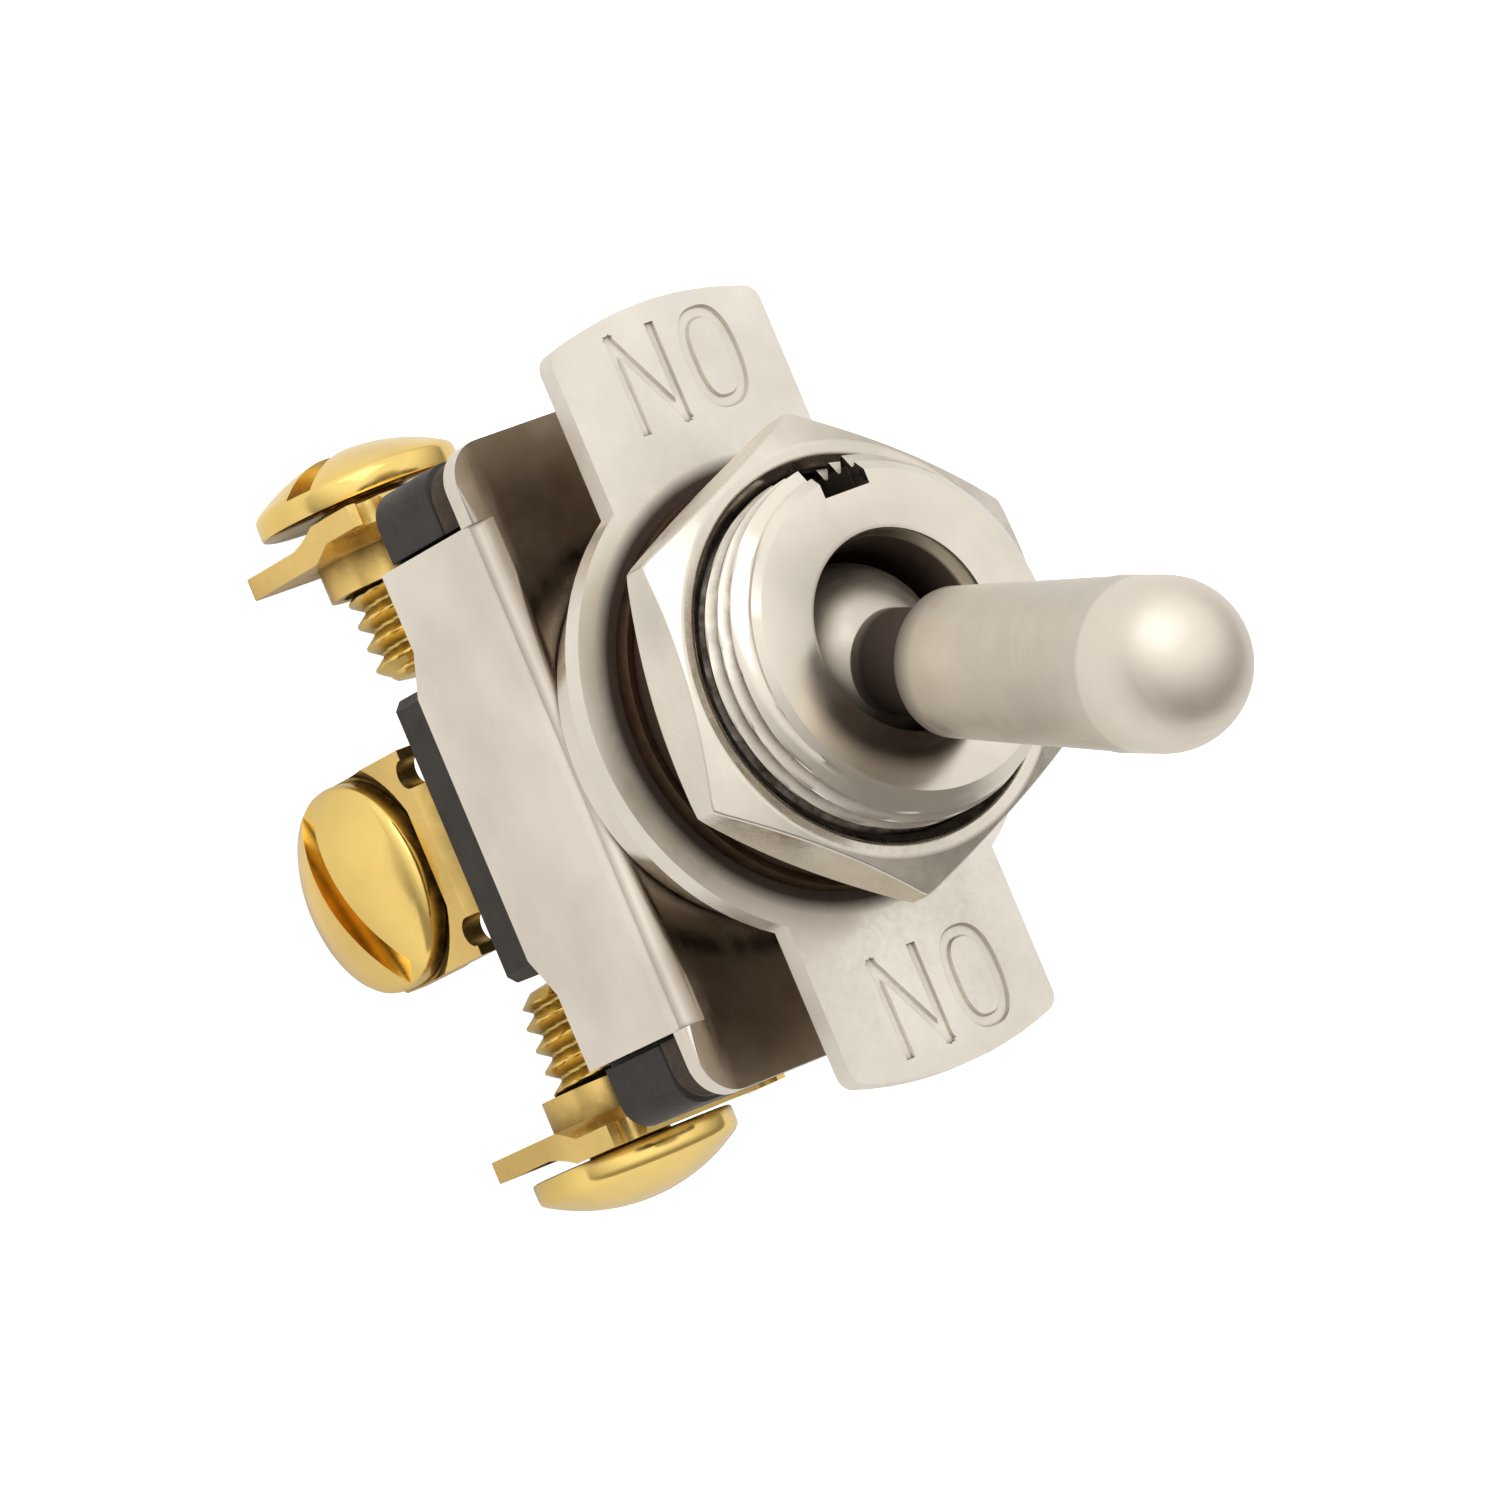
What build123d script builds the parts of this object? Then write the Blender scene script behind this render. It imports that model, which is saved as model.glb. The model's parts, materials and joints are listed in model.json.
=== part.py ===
"""Panel toggle switch: bat lever, threaded bushing, legend plate, riveted base, three screw terminals."""
import math
import os

from build123d import *

os.makedirs("parts", exist_ok=True)

# Frame of the model, in mm: +Z out of the panel along the bushing, X the way the lever swings, and
# heights count from the top of the frame plate. The saved row's origin lies on the mounting thread.
ORIGIN_UP = 8.60
SEAT = 0.01  # gap left between pieces that rest on each other
RUNNING = 0.04  # radial clearance of a turning or sliding pin
PAST = 1.0  # how far a cut runs past the piece it cuts
AWAY = 30.0  # reach of a cut that takes all that lies beyond an edge

# Frame of folded sheet
SHEET = 0.75
PLATE_HALF_LENGTH = 11.20
FRAME_HALF_WIDTH = 6.87
PLATE_CORNER = 1.30
WALL_HALF_LENGTH = 8.70
WALL_END_Z = -6.15
WALL_TAB_Z = -7.00
TAB_HALF_LENGTH = 4.60
TAB_SLOPE_LENGTH = 1.40
BEND_OUTER = 0.85
BEND_INNER = BEND_OUTER - SHEET

# Insulating card and moulded base
CARD_THICK = 1.15
CARD_TOP = -SHEET - SEAT
CARD_BOTTOM = CARD_TOP - CARD_THICK
CARD_HALF_LENGTH = 11.00
CARD_END_HALF_WIDTH = 6.72
CARD_CORNER = 1.20
WALL_GAP = 0.05  # from a wall's inside to the base
INSIDE_HALF_WIDTH = FRAME_HALF_WIDTH - SHEET - WALL_GAP
END_STEP_X = WALL_HALF_LENGTH + 0.15
BASE_TOP = CARD_BOTTOM - SEAT
BASE_HALF_LENGTH = 11.10
BASE_END_HALF_WIDTH = 6.65
BASE_BOTTOM = -6.10
BASE_CORNER = 1.00
BASE_EDGE = 0.50
GROOVE = 0.25
BLOCK_HALF_LENGTH = 5.00
BLOCK_HALF_WIDTH = 6.00
BLOCK_BOTTOM = -10.20
BLOCK_EDGE = 0.30
BLOCK_WALL = 1.20
CAVITY_HALF_LENGTH = 9.40
CAVITY_HALF_WIDTH = 3.40
CAVITY_FLOOR = -5.40

# Bushing
THREAD_R = 5.95
THREAD_TOP = 10.00
THREAD_CHAMFER = 0.70
RELIEF_Z = 7.40  # groove where the free thread starts, level with the nut's outer face
RELIEF_WIDE = 0.50
RELIEF_DEPTH = 0.35
FLANGE_R = 7.00
FLANGE_TOP = 2.90
SPIGOT_R = 4.90
STAKE_R = 5.30
STAKE_THICK = 0.42
STAKE_GAP = 0.15
MOUTH_R = 3.27
MOUTH_CHAMFER = 0.15
WELL_R = 4.10
WELL_TOP = 2.40
WELL_SLOPE = 1.00
KEYWAY_HALF_WIDTH = 0.90
KEYWAY_FLOOR = 4.70

# Legend plate, lock washer and nut
LEGEND_BOTTOM = FLANGE_TOP + SEAT
LEGEND_THICK = 0.83
LEGEND_DISC_R = 8.27
LEGEND_HALF_WIDTH = 4.25
LEGEND_END_R = 13.20
LEGEND_HOLE_R = 6.03
LEGEND_CORNER = 0.60
KEY_HALF_WIDTH = 0.78
KEY_REACH = 4.88
WASHER_BOTTOM = LEGEND_BOTTOM + LEGEND_THICK + SEAT
WASHER_THICK = 0.70
WASHER_R = 6.90
WASHER_RIM_R = 6.38
WASHER_TOOTH_R = 6.06
WASHER_TEETH = 12
WASHER_TOOTH_WIDE = 2.00
WASHER_LAP = 0.20  # how far a tooth's blank reaches inside the tooth circle before it is cut to it
NUT_BOTTOM = WASHER_BOTTOM + WASHER_THICK + SEAT
NUT_THICK = 3.30
NUT_CLEAR = 0.07
NUT_WALL = 0.955
NUT_FACE_STEP = 0.175
NUT_HOLE_R = THREAD_R + NUT_CLEAR
NUT_FLATS = 2 * (NUT_HOLE_R + NUT_WALL)
NUT_FACE_R = NUT_FLATS / 2 - NUT_FACE_STEP
NUT_TURN = -7.8
NUT_BEVEL_SLOPE = 0.577
NUT_COUNTERSINK = 0.35

# Lever, on a cross pin in the bushing
PIVOT_Z = 6.20
LEVER_TILT = 16.5
BALL_R = 3.10
PIN_R = 0.75
PIN_HALF_LENGTH = 5.10
NECK_R = 1.70
BAT_START = 5.60
BAT_START_R = 2.38
BAT_R = 2.73
BAT_RING = 14.30
BAT_DOME = 16.20
BAT_EDGE = 0.25
ARM_R = 1.60
ARM_END = 8.30
BORE_DEPTH = 5.20

# Plunger and its spring inside the lever's arm
PLUNGER_R = 0.90
PLUNGER_LENGTH = 3.45
WIRE_R = 0.14
COIL_R = 0.70
COIL_TURNS = 4
COIL_SIDES = 10  # straight runs in each turn of the drawn spring

# Rocker: a sheet strip with a trough that follows the plunger's tip
ROCKER_SWING = 4.5
FULCRUM_Z = -5.65
KNIFE_R = 0.30
ROCKER_SHEET = 0.50
ROCKER_HALF_WIDTH = 2.20
TIP_GAP = 0.04
CONTACT_X = 7.00
CONTACT_R = 1.10
CONTACT_HIGH = 0.35
CONTACT_STEM_R = 0.50
CONTACT_CROWN = 0.12
CONTACT_BREAK = 0.08
PEENED_R = 0.70
PEENED_HIGH = 0.15
WING_LAP = 0.10  # wing left beyond the contact
ROCKER_REACH = CONTACT_X + CONTACT_R + WING_LAP
CLOSED_GAP = 0.04
FIXED_CONTACT_R = 1.25
RIVET_HEAD_R = 1.10
RIVET_HEAD_HIGH = 0.40
RIVET_HEAD_BREAK = 0.25
SADDLE_HALF_LENGTH = 1.60
SADDLE_THICK = 0.30

# Terminals and their screws
STRIP = 0.76
STRIP_HALF_WIDTH = 3.65
STRIP_OUTER = {"minus_x": 11.80, "plus_x": 11.10}  # the two end strips aren't bent quite alike
STRIP_TIP_Z = -19.20
STRIP_CORNER = 0.35
SHOULDER_Z = -11.50
DISH_DEPTH = 0.45
DISH_R = 3.70
DISH_RIM_R = 4.25
DISH_BEND = 0.27  # how much further out the dish turns on the strip's inner face
NOTCH_R = 0.50
NECK_HALF_WIDTH = 2.30
NECK_OUTER = 10.71
NECK_LAP = 0.80
NECK_BEND = 0.30
LIMB_REACH = 5.90
BOSS_R = 2.25
BOSS_HIGH = 1.15
SCREW_Z = -16.20
SCREW_R = 1.75
SCREW_HOLE_R = SCREW_R + 0.05
SCREW_LENGTH = 6.10
SCREW_POINT = 0.50
HEAD_R = 3.60
HEAD_HIGH = 1.90
HEAD_RIM = 0.72
HEAD_BREAK = 0.08
SLOT_HALF_WIDTH = 0.52
SLOT_DEPTH = 1.10
CENTRE_OUTER = 5.55
CENTRE_TIP_Z = -17.60
CENTRE_NECK_OUTER = 5.20
CENTRE_LIMB_TOP = -6.45
CENTRE_LIMB_REACH = 2.20
SLOT_PLAY = 0.03
LIMB_GAP = 0.10
SCREW_HEAD_AT = {"minus_x": 12.20, "plus_x": 11.15, "centre": 5.15}
SCREW_TURNS = {"minus_x": 115.0, "plus_x": 124.0, "centre": 109.0}


def box(x0, x1, y0, y1, z0, z1):
    """A block between two corners."""
    middle = ((x0 + x1) / 2, (y0 + y1) / 2, (z0 + z1) / 2)
    return Pos(*middle) * Box(x1 - x0, y1 - y0, z1 - z0)


def rod(radius, z0, z1):
    """A cylinder on the Z axis."""
    return Pos(0, 0, (z0 + z1) / 2) * Cylinder(radius, z1 - z0)


def slab(half_length, half_width, corner, z0, z1):
    """A plate with rounded corners."""
    outline = RectangleRounded(2 * half_length, 2 * half_width, corner)
    return Pos(0, 0, z0) * extrude(outline, z1 - z0)


def lathe(outline):
    """A solid of revolution about Z from a closed half outline of (radius, height) lines and arcs."""
    return revolve(make_face((Plane.XZ * outline).edges()), Axis.Z)


def turned(points):
    """A solid of revolution about Z from a half profile of (radius, height) points."""
    return lathe(Polyline(*points, close=True))


def domed(top, rim_radius, rim_height, points):
    """A turned solid whose top is a dome from the axis to a rim, with its side and foot as points."""
    dome = TangentArc((0, top), (rim_radius, rim_height), tangent=(1, 0))
    return lathe(dome + Polyline((rim_radius, rim_height), *points, (0, top)))


def side_profile(points, half_width):
    """A shape drawn in X and Z and carried both ways along Y."""
    face = make_face(Plane.XZ * Polyline(*points, close=True))
    return extrude(face, half_width, both=True)


def save(node, shape):
    """Writes one node, moved so that the row's origin is on the mounting thread."""
    export_step(shape.moved(Location((0, 0, -ORIGIN_UP))), f"parts/{node}.step")


def on_lever(shape):
    """Turns a shape drawn upright about the pivot into the lever's stored tilt."""
    return Pos(0, 0, PIVOT_Z) * Rot(0, LEVER_TILT, 0) * shape


def on_rocker(shape):
    """Turns a shape drawn level about the fulcrum into the rocker's stored tilt."""
    return Pos(0, 0, FULCRUM_Z) * Rot(0, -ROCKER_SWING, 0) * shape


def frame():
    """Top plate with two folded side walls."""
    plate = slab(PLATE_HALF_LENGTH, FRAME_HALF_WIDTH, PLATE_CORNER, -SHEET, 0)
    outer = Pos(0, 0, WALL_TAB_Z / 2) * Box(2 * WALL_HALF_LENGTH, 2 * FRAME_HALF_WIDTH, -WALL_TAB_Z)
    outer = fillet(outer.edges().filter_by(Axis.X).group_by(Axis.Z)[-1], BEND_OUTER)
    inner_half = FRAME_HALF_WIDTH - SHEET
    beyond = WALL_HALF_LENGTH + PAST
    inner = box(-beyond, beyond, -inner_half, inner_half, WALL_TAB_Z - PAST, -SHEET)
    inner = fillet(inner.edges().filter_by(Axis.X).group_by(Axis.Z)[-1], BEND_INNER)
    ends = plate - box(-WALL_HALF_LENGTH, WALL_HALF_LENGTH, -AWAY, AWAY, -SHEET - PAST, PAST)
    body = ends + (outer - inner)
    slope_end = TAB_HALF_LENGTH + TAB_SLOPE_LENGTH
    for side in (-1, 1):
        trim = [
            (side * TAB_HALF_LENGTH, WALL_TAB_Z),
            (side * slope_end, WALL_END_Z),
            (side * beyond, WALL_END_Z),
            (side * beyond, WALL_TAB_Z - PAST),
            (side * TAB_HALF_LENGTH, WALL_TAB_Z - PAST),
        ]
        body -= side_profile(trim, FRAME_HALF_WIDTH + PAST)
    return body - rod(SPIGOT_R + SEAT, -SHEET - PAST, PAST)


def wall_room(bottom, top):
    """The room outside the base and card that the frame's two walls fill."""
    room = box(-END_STEP_X, END_STEP_X, -AWAY, AWAY, bottom - PAST, top + PAST)
    return room - box(-AWAY, AWAY, -INSIDE_HALF_WIDTH, INSIDE_HALF_WIDTH, bottom - 2 * PAST, top + 2 * PAST)


def insulator():
    """Card between plate and base, wider where the walls end."""
    card = slab(CARD_HALF_LENGTH, CARD_END_HALF_WIDTH, CARD_CORNER, CARD_BOTTOM, CARD_TOP)
    card -= wall_room(CARD_BOTTOM, CARD_TOP)
    return card - rod(STAKE_R + STAKE_GAP, CARD_BOTTOM - PAST, CARD_TOP + PAST)


def neck_slot(inner, outer, half_width, bottom, top):
    """Space in the base for a terminal's neck, with play all round, on the +X side."""
    return box(inner - SLOT_PLAY, outer + SLOT_PLAY, -half_width - SLOT_PLAY, half_width + SLOT_PLAY, bottom, top)


def base():
    """Moulded base: flat ends, a deeper middle block, and the contact chamber open at the top."""
    body = slab(BASE_HALF_LENGTH, BASE_END_HALF_WIDTH, BASE_CORNER, BASE_BOTTOM, BASE_TOP)
    body = chamfer(body.faces().sort_by(Axis.Z)[0].edges(), BASE_EDGE)
    body = chamfer(body.faces().sort_by(Axis.Z)[-1].edges(), GROOVE)
    body -= wall_room(BASE_BOTTOM, BASE_TOP)
    length = BLOCK_HALF_LENGTH
    wide = BLOCK_HALF_WIDTH
    block = box(-length, length, -wide, wide, BLOCK_BOTTOM, BASE_BOTTOM + PAST / 2)
    block = chamfer(block.edges().filter_by(Axis.Z) + block.faces().sort_by(Axis.Z)[0].edges(), BLOCK_EDGE)
    body += block
    room = CAVITY_HALF_WIDTH
    body -= box(-CAVITY_HALF_LENGTH, CAVITY_HALF_LENGTH, -room, room, CAVITY_FLOOR, BASE_TOP + PAST)
    well_floor = CENTRE_LIMB_TOP - STRIP - SEAT
    well_half = BLOCK_HALF_LENGTH - BLOCK_WALL
    body -= box(-well_half, well_half, -room, room, well_floor, BASE_TOP + PAST)
    neck = NECK_HALF_WIDTH
    roof = CAVITY_FLOOR + STRIP + LIMB_GAP
    for turn in (0, 180):
        slot = neck_slot(NECK_OUTER - STRIP, NECK_OUTER, neck, BASE_BOTTOM - PAST, roof)
        passage = neck_slot(CAVITY_HALF_LENGTH - PAST, NECK_OUTER, neck, CAVITY_FLOOR, roof)
        stem = Pos(CONTACT_X, 0, 0) * rod(CONTACT_STEM_R + SEAT, BASE_BOTTOM - PAST, CAVITY_FLOOR + PAST)
        body -= Rot(0, 0, turn) * (slot + passage + stem)
    roof = CENTRE_LIMB_TOP + LIMB_GAP
    centre = neck_slot(CENTRE_NECK_OUTER - STRIP, CENTRE_NECK_OUTER, neck, BLOCK_BOTTOM - PAST, roof)
    through = neck_slot(CAVITY_HALF_WIDTH - PAST, CENTRE_NECK_OUTER, neck, well_floor, roof)
    body -= Rot(0, 0, -90) * (centre + through)
    return body - rod(CONTACT_STEM_R + SEAT, BLOCK_BOTTOM - PAST, well_floor + PAST)


def bushing():
    """Threaded bushing with its flange, keyway, cross-pin hole and staked foot."""
    outside = [
        (0, THREAD_TOP),
        (THREAD_R - THREAD_CHAMFER, THREAD_TOP),
        (THREAD_R, THREAD_TOP - THREAD_CHAMFER),
        (THREAD_R, RELIEF_Z + RELIEF_WIDE),
        (THREAD_R - RELIEF_DEPTH, RELIEF_Z + RELIEF_WIDE),
        (THREAD_R - RELIEF_DEPTH, RELIEF_Z),
        (THREAD_R, RELIEF_Z),
        (THREAD_R, FLANGE_TOP),
        (FLANGE_R, FLANGE_TOP),
        (FLANGE_R, SEAT),
        (SPIGOT_R, SEAT),
        (SPIGOT_R, -SHEET - SEAT),
        (STAKE_R, -SHEET - SEAT),
        (STAKE_R, -SHEET - STAKE_THICK),
        (0, -SHEET - STAKE_THICK),
    ]
    inside = [
        (0, THREAD_TOP + PAST),
        (MOUTH_R + MOUTH_CHAMFER + PAST, THREAD_TOP + PAST),
        (MOUTH_R, THREAD_TOP - MOUTH_CHAMFER),
        (MOUTH_R, WELL_TOP + WELL_SLOPE),
        (WELL_R, WELL_TOP),
        (WELL_R, -SHEET - STAKE_THICK - PAST),
        (0, -SHEET - STAKE_THICK - PAST),
    ]
    body = turned(outside) - turned(inside)
    wide = KEYWAY_HALF_WIDTH
    body -= box(-THREAD_R - PAST, -KEYWAY_FLOOR, -wide, wide, FLANGE_TOP, THREAD_TOP + PAST)
    return body - Pos(0, 0, PIVOT_Z) * Rot(90, 0, 0) * Cylinder(PIN_R + SEAT / 2, 2 * THREAD_R + 2 * PAST)


def legend_plate():
    """Disc with two tabs and a key that sits in the bushing's keyway."""
    tabs = Circle(LEGEND_END_R) & Rectangle(4 * LEGEND_END_R, 2 * LEGEND_HALF_WIDTH)
    tabs = fillet(tabs.vertices(), LEGEND_CORNER)
    outline = tabs + Circle(LEGEND_DISC_R)
    key_length = LEGEND_DISC_R - KEY_REACH - PAST
    key = Pos(-KEY_REACH - key_length / 2, 0) * Rectangle(key_length, 2 * KEY_HALF_WIDTH)
    outline = outline - Circle(LEGEND_HOLE_R) + key
    return Pos(0, 0, LEGEND_BOTTOM) * extrude(outline, LEGEND_THICK)


def lock_washer():
    """Internal-tooth washer."""
    ring = Circle(WASHER_R) - Circle(WASHER_RIM_R)
    middle = (WASHER_R + WASHER_TOOTH_R) / 2
    tooth = Pos(middle - WASHER_LAP, 0) * Rectangle(WASHER_R - WASHER_TOOTH_R, WASHER_TOOTH_WIDE)
    for index in range(WASHER_TEETH):
        ring += Rot(0, 0, index * 360 / WASHER_TEETH) * tooth
    ring -= Circle(WASHER_TOOTH_R)
    return Pos(0, 0, WASHER_BOTTOM) * extrude(ring, WASHER_THICK)


def hex_nut():
    """Hexagon nut, bevelled on both faces."""
    prism = extrude(RegularPolygon(NUT_FLATS / 2, 6, major_radius=False), NUT_THICK)
    corner_r = NUT_FLATS / math.sqrt(3)
    drop = (corner_r + PAST - NUT_FACE_R) * NUT_BEVEL_SLOPE
    bevels = turned([
        (0, 0),
        (NUT_FACE_R, 0),
        (corner_r + PAST, drop),
        (corner_r + PAST, NUT_THICK - drop),
        (NUT_FACE_R, NUT_THICK),
        (0, NUT_THICK),
    ])
    sink = NUT_HOLE_R + NUT_COUNTERSINK + PAST
    hole = turned([
        (0, -PAST),
        (sink, -PAST),
        (NUT_HOLE_R, NUT_COUNTERSINK),
        (NUT_HOLE_R, NUT_THICK - NUT_COUNTERSINK),
        (sink, NUT_THICK + PAST),
        (0, NUT_THICK + PAST),
    ])
    nut = (prism & bevels) - hole
    return Pos(0, 0, NUT_BOTTOM) * Rot(0, 0, NUT_TURN) * nut


def lever():
    """Bat, neck, pivot ball and bored lower arm in one piece."""
    ball_top = math.sqrt(BALL_R**2 - NECK_R**2)
    ball_low = -math.sqrt(BALL_R**2 - ARM_R**2)
    bat = Polyline(
        (BAT_R, BAT_DOME),
        (BAT_R, BAT_RING),
        (BAT_START_R, BAT_START + BAT_EDGE),
        (BAT_START_R - BAT_EDGE, BAT_START),
        (NECK_R, BAT_START),
        (NECK_R, ball_top),
    )
    dome = TangentArc((0, BAT_DOME + BAT_R), (BAT_R, BAT_DOME), tangent=(1, 0))
    ball = ThreePointArc((NECK_R, ball_top), (BALL_R, 0), (ARM_R, ball_low))
    arm = Polyline((ARM_R, ball_low), (ARM_R, -ARM_END), (0, -ARM_END), (0, BAT_DOME + BAT_R))
    body = lathe(dome + bat + ball + arm)
    body -= rod(PLUNGER_R + RUNNING, -ARM_END - PAST, -ARM_END + BORE_DEPTH)
    body -= Rot(90, 0, 0) * Cylinder(PIN_R + RUNNING, 4 * BALL_R)
    return on_lever(body)


def lever_pin():
    """Cross pin the lever turns on."""
    return Pos(0, 0, PIVOT_Z) * Rot(90, 0, 0) * Cylinder(PIN_R, 2 * PIN_HALF_LENGTH)


def tip_distance():
    """From the lever's pivot to the centre of the plunger's round tip."""
    return PIVOT_Z - FULCRUM_Z - (KNIFE_R + 0.02 + ROCKER_SHEET + TIP_GAP + PLUNGER_R)


def plunger():
    """Round-ended pin that pushes the rocker."""
    reach = tip_distance()
    tip = TangentArc((0, -reach - PLUNGER_R), (PLUNGER_R, -reach), tangent=(1, 0))
    top = -reach + PLUNGER_LENGTH
    side = Polyline((PLUNGER_R, -reach), (PLUNGER_R, top), (0, top), (0, -reach - PLUNGER_R))
    return on_lever(lathe(tip + side))


def plunger_spring():
    """Coil spring between the plunger and the end of its bore, drawn in short straight runs."""
    low = -tip_distance() + PLUNGER_LENGTH + WIRE_R + SEAT
    high = -ARM_END + BORE_DEPTH - WIRE_R - SEAT
    steps = COIL_TURNS * COIL_SIDES
    corners = []
    for index in range(steps + 1):
        angle = 2 * math.pi * index / COIL_SIDES
        corners.append((COIL_R * math.cos(angle), COIL_R * math.sin(angle), low + (high - low) * index / steps))
    path = Polyline(*corners)
    start = Plane(origin=path @ 0, x_dir=(1, 0, 0), z_dir=path % 0)
    return on_lever(sweep(start * RegularPolygon(WIRE_R, 6), path=path, transition=Transition.RIGHT))


def trough():
    """Radius and centre height, over the fulcrum, of the path of the plunger's tip in the rocker."""
    reach = tip_distance()
    tilt = math.radians(LEVER_TILT)
    swing = math.radians(ROCKER_SWING)
    low = PIVOT_Z - reach - FULCRUM_Z
    side = -reach * math.sin(tilt)
    high = PIVOT_Z - reach * math.cos(tilt) - FULCRUM_Z
    end_x = side * math.cos(swing) + high * math.sin(swing)
    end_z = -side * math.sin(swing) + high * math.cos(swing)
    rise = end_z - low
    radius = (end_x**2 + rise**2) / (2 * rise)
    return radius, low + radius


def wing_height():
    """Underside of the rocker's wings over the fulcrum, so that the stored side is closed."""
    swing = math.radians(ROCKER_SWING)
    closed = CAVITY_FLOOR + STRIP + 2 * CONTACT_HIGH + CONTACT_CROWN + CLOSED_GAP - FULCRUM_Z
    return (closed + CONTACT_X * math.sin(swing)) / math.cos(swing)


def rocker():
    """Sheet strip: a trough over the fulcrum and a flat wing on each side."""
    radius, centre = trough()
    inner = radius + PLUNGER_R + TIP_GAP
    outer = inner + ROCKER_SHEET
    wing = wing_height()
    top = wing + ROCKER_SHEET
    wide = ROCKER_HALF_WIDTH
    round_outer = Pos(0, 0, centre) * Rot(90, 0, 0) * Cylinder(outer, 2 * wide)
    round_inner = Pos(0, 0, centre) * Rot(90, 0, 0) * Cylinder(inner, 2 * wide + 2 * PAST)
    bowl = round_outer & box(-outer, outer, -wide, wide, centre - outer - PAST, top)
    body = bowl + box(-ROCKER_REACH, ROCKER_REACH, -wide, wide, wing, top)
    body -= round_inner
    for side in (-1, 1):
        body -= Pos(side * CONTACT_X, 0, 0) * rod(CONTACT_STEM_R + SEAT / 2, wing - PAST, top + PAST)
    return on_rocker(body)


def moving_contact(side):
    """Silver contact riveted through a wing of the rocker."""
    wing = wing_height()
    top = wing + ROCKER_SHEET
    contact = turned([
        (0, wing - CONTACT_HIGH),
        (CONTACT_R - CONTACT_BREAK, wing - CONTACT_HIGH),
        (CONTACT_R, wing - CONTACT_HIGH + CONTACT_BREAK),
        (CONTACT_R, wing - SEAT),
        (CONTACT_STEM_R, wing - SEAT),
        (CONTACT_STEM_R, top + SEAT),
        (PEENED_R, top + SEAT),
        (PEENED_R, top + PEENED_HIGH),
        (0, top + PEENED_HIGH),
    ])
    return on_rocker(Pos(side * CONTACT_X, 0, 0) * contact)


def rivet_foot(head_z):
    """Points of a rivet's formed head under the base, from its stem to the axis."""
    return [
        (CONTACT_STEM_R, head_z - SEAT),
        (RIVET_HEAD_R, head_z - SEAT),
        (RIVET_HEAD_R, head_z - RIVET_HEAD_HIGH + RIVET_HEAD_BREAK),
        (RIVET_HEAD_R - RIVET_HEAD_BREAK, head_z - RIVET_HEAD_HIGH),
        (0, head_z - RIVET_HEAD_HIGH),
    ]


def fulcrum():
    """Saddle with the rounded edge that the rocker rocks on, riveted through the centre limb and base."""
    wide = ROCKER_HALF_WIDTH
    low = CENTRE_LIMB_TOP + SEAT
    top = low + SADDLE_THICK / 2
    foot = box(-SADDLE_HALF_LENGTH, SADDLE_HALF_LENGTH, -wide, wide, low, low + SADDLE_THICK)
    ridge = box(-KNIFE_R, KNIFE_R, -wide, wide, top, FULCRUM_Z)
    edge = Pos(0, 0, FULCRUM_Z) * Rot(90, 0, 0) * Cylinder(KNIFE_R, 2 * wide)
    return foot + ridge + edge + turned([(0, top), (CONTACT_STEM_R, top)] + rivet_foot(BLOCK_BOTTOM))


def fixed_contact():
    """Crowned contact on a terminal's limb, riveted through limb and base on the +X side."""
    low = CAVITY_FLOOR + STRIP + 2 * SEAT
    high = low + CONTACT_HIGH
    side = [(FIXED_CONTACT_R, low), (CONTACT_STEM_R, low)] + rivet_foot(BASE_BOTTOM)
    return Pos(CONTACT_X, 0, 0) * domed(high + CONTACT_CROWN, FIXED_CONTACT_R, high, side)


def strip_plate(outer, tip_z):
    """The screw plate of a terminal on the +X side, dished round the screw and notched beside the neck."""
    wide = STRIP_HALF_WIDTH
    floor = outer - DISH_DEPTH
    reach = 2 * wide
    low = box(floor - STRIP, floor, -wide, wide, tip_z, SCREW_Z)
    low = fillet(low.edges().filter_by(Axis.X).group_by(Axis.Z)[0], STRIP_CORNER)
    dish = turned([
        (0, -STRIP),
        (DISH_R + DISH_BEND, -STRIP),
        (DISH_RIM_R + DISH_BEND, DISH_DEPTH - STRIP),
        (reach, DISH_DEPTH - STRIP),
        (reach, DISH_DEPTH),
        (DISH_RIM_R, DISH_DEPTH),
        (DISH_R, 0),
        (0, 0),
    ])
    screw_axis = Pos(floor, 0, SCREW_Z) * Rot(0, 90, 0)
    high = screw_axis * dish & box(floor - reach, outer + PAST, -wide, wide, SCREW_Z, SHOULDER_Z)
    for side in (-1, 1):
        middle = side * (NECK_HALF_WIDTH + NOTCH_R)
        high -= Pos(outer, middle, SHOULDER_Z - 2 * SEAT) * Rot(0, 90, 0) * Cylinder(NOTCH_R, 4 * STRIP)
    boss = screw_axis * rod(BOSS_R, -STRIP - BOSS_HIGH, -STRIP / 2)
    hole = screw_axis * rod(SCREW_HOLE_R, -STRIP - BOSS_HIGH - PAST, PAST)
    return low + high + boss - hole


def neck_profile(outer, neck_outer, limb_top, limb_reach):
    """Side view of a terminal's neck: joggled in from the plate, up, and over as a limb."""
    step = outer - neck_outer
    return [
        (outer - STRIP, SHOULDER_Z - NECK_LAP),
        (outer, SHOULDER_Z - NECK_LAP),
        (outer, SHOULDER_Z),
        (neck_outer, SHOULDER_Z + step),
        (neck_outer, limb_top),
        (limb_reach, limb_top),
        (limb_reach, limb_top - STRIP),
        (neck_outer - STRIP, limb_top - STRIP),
        (neck_outer - STRIP, SHOULDER_Z + step - NECK_BEND),
        (outer - STRIP, SHOULDER_Z - NECK_BEND),
    ]


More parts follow.
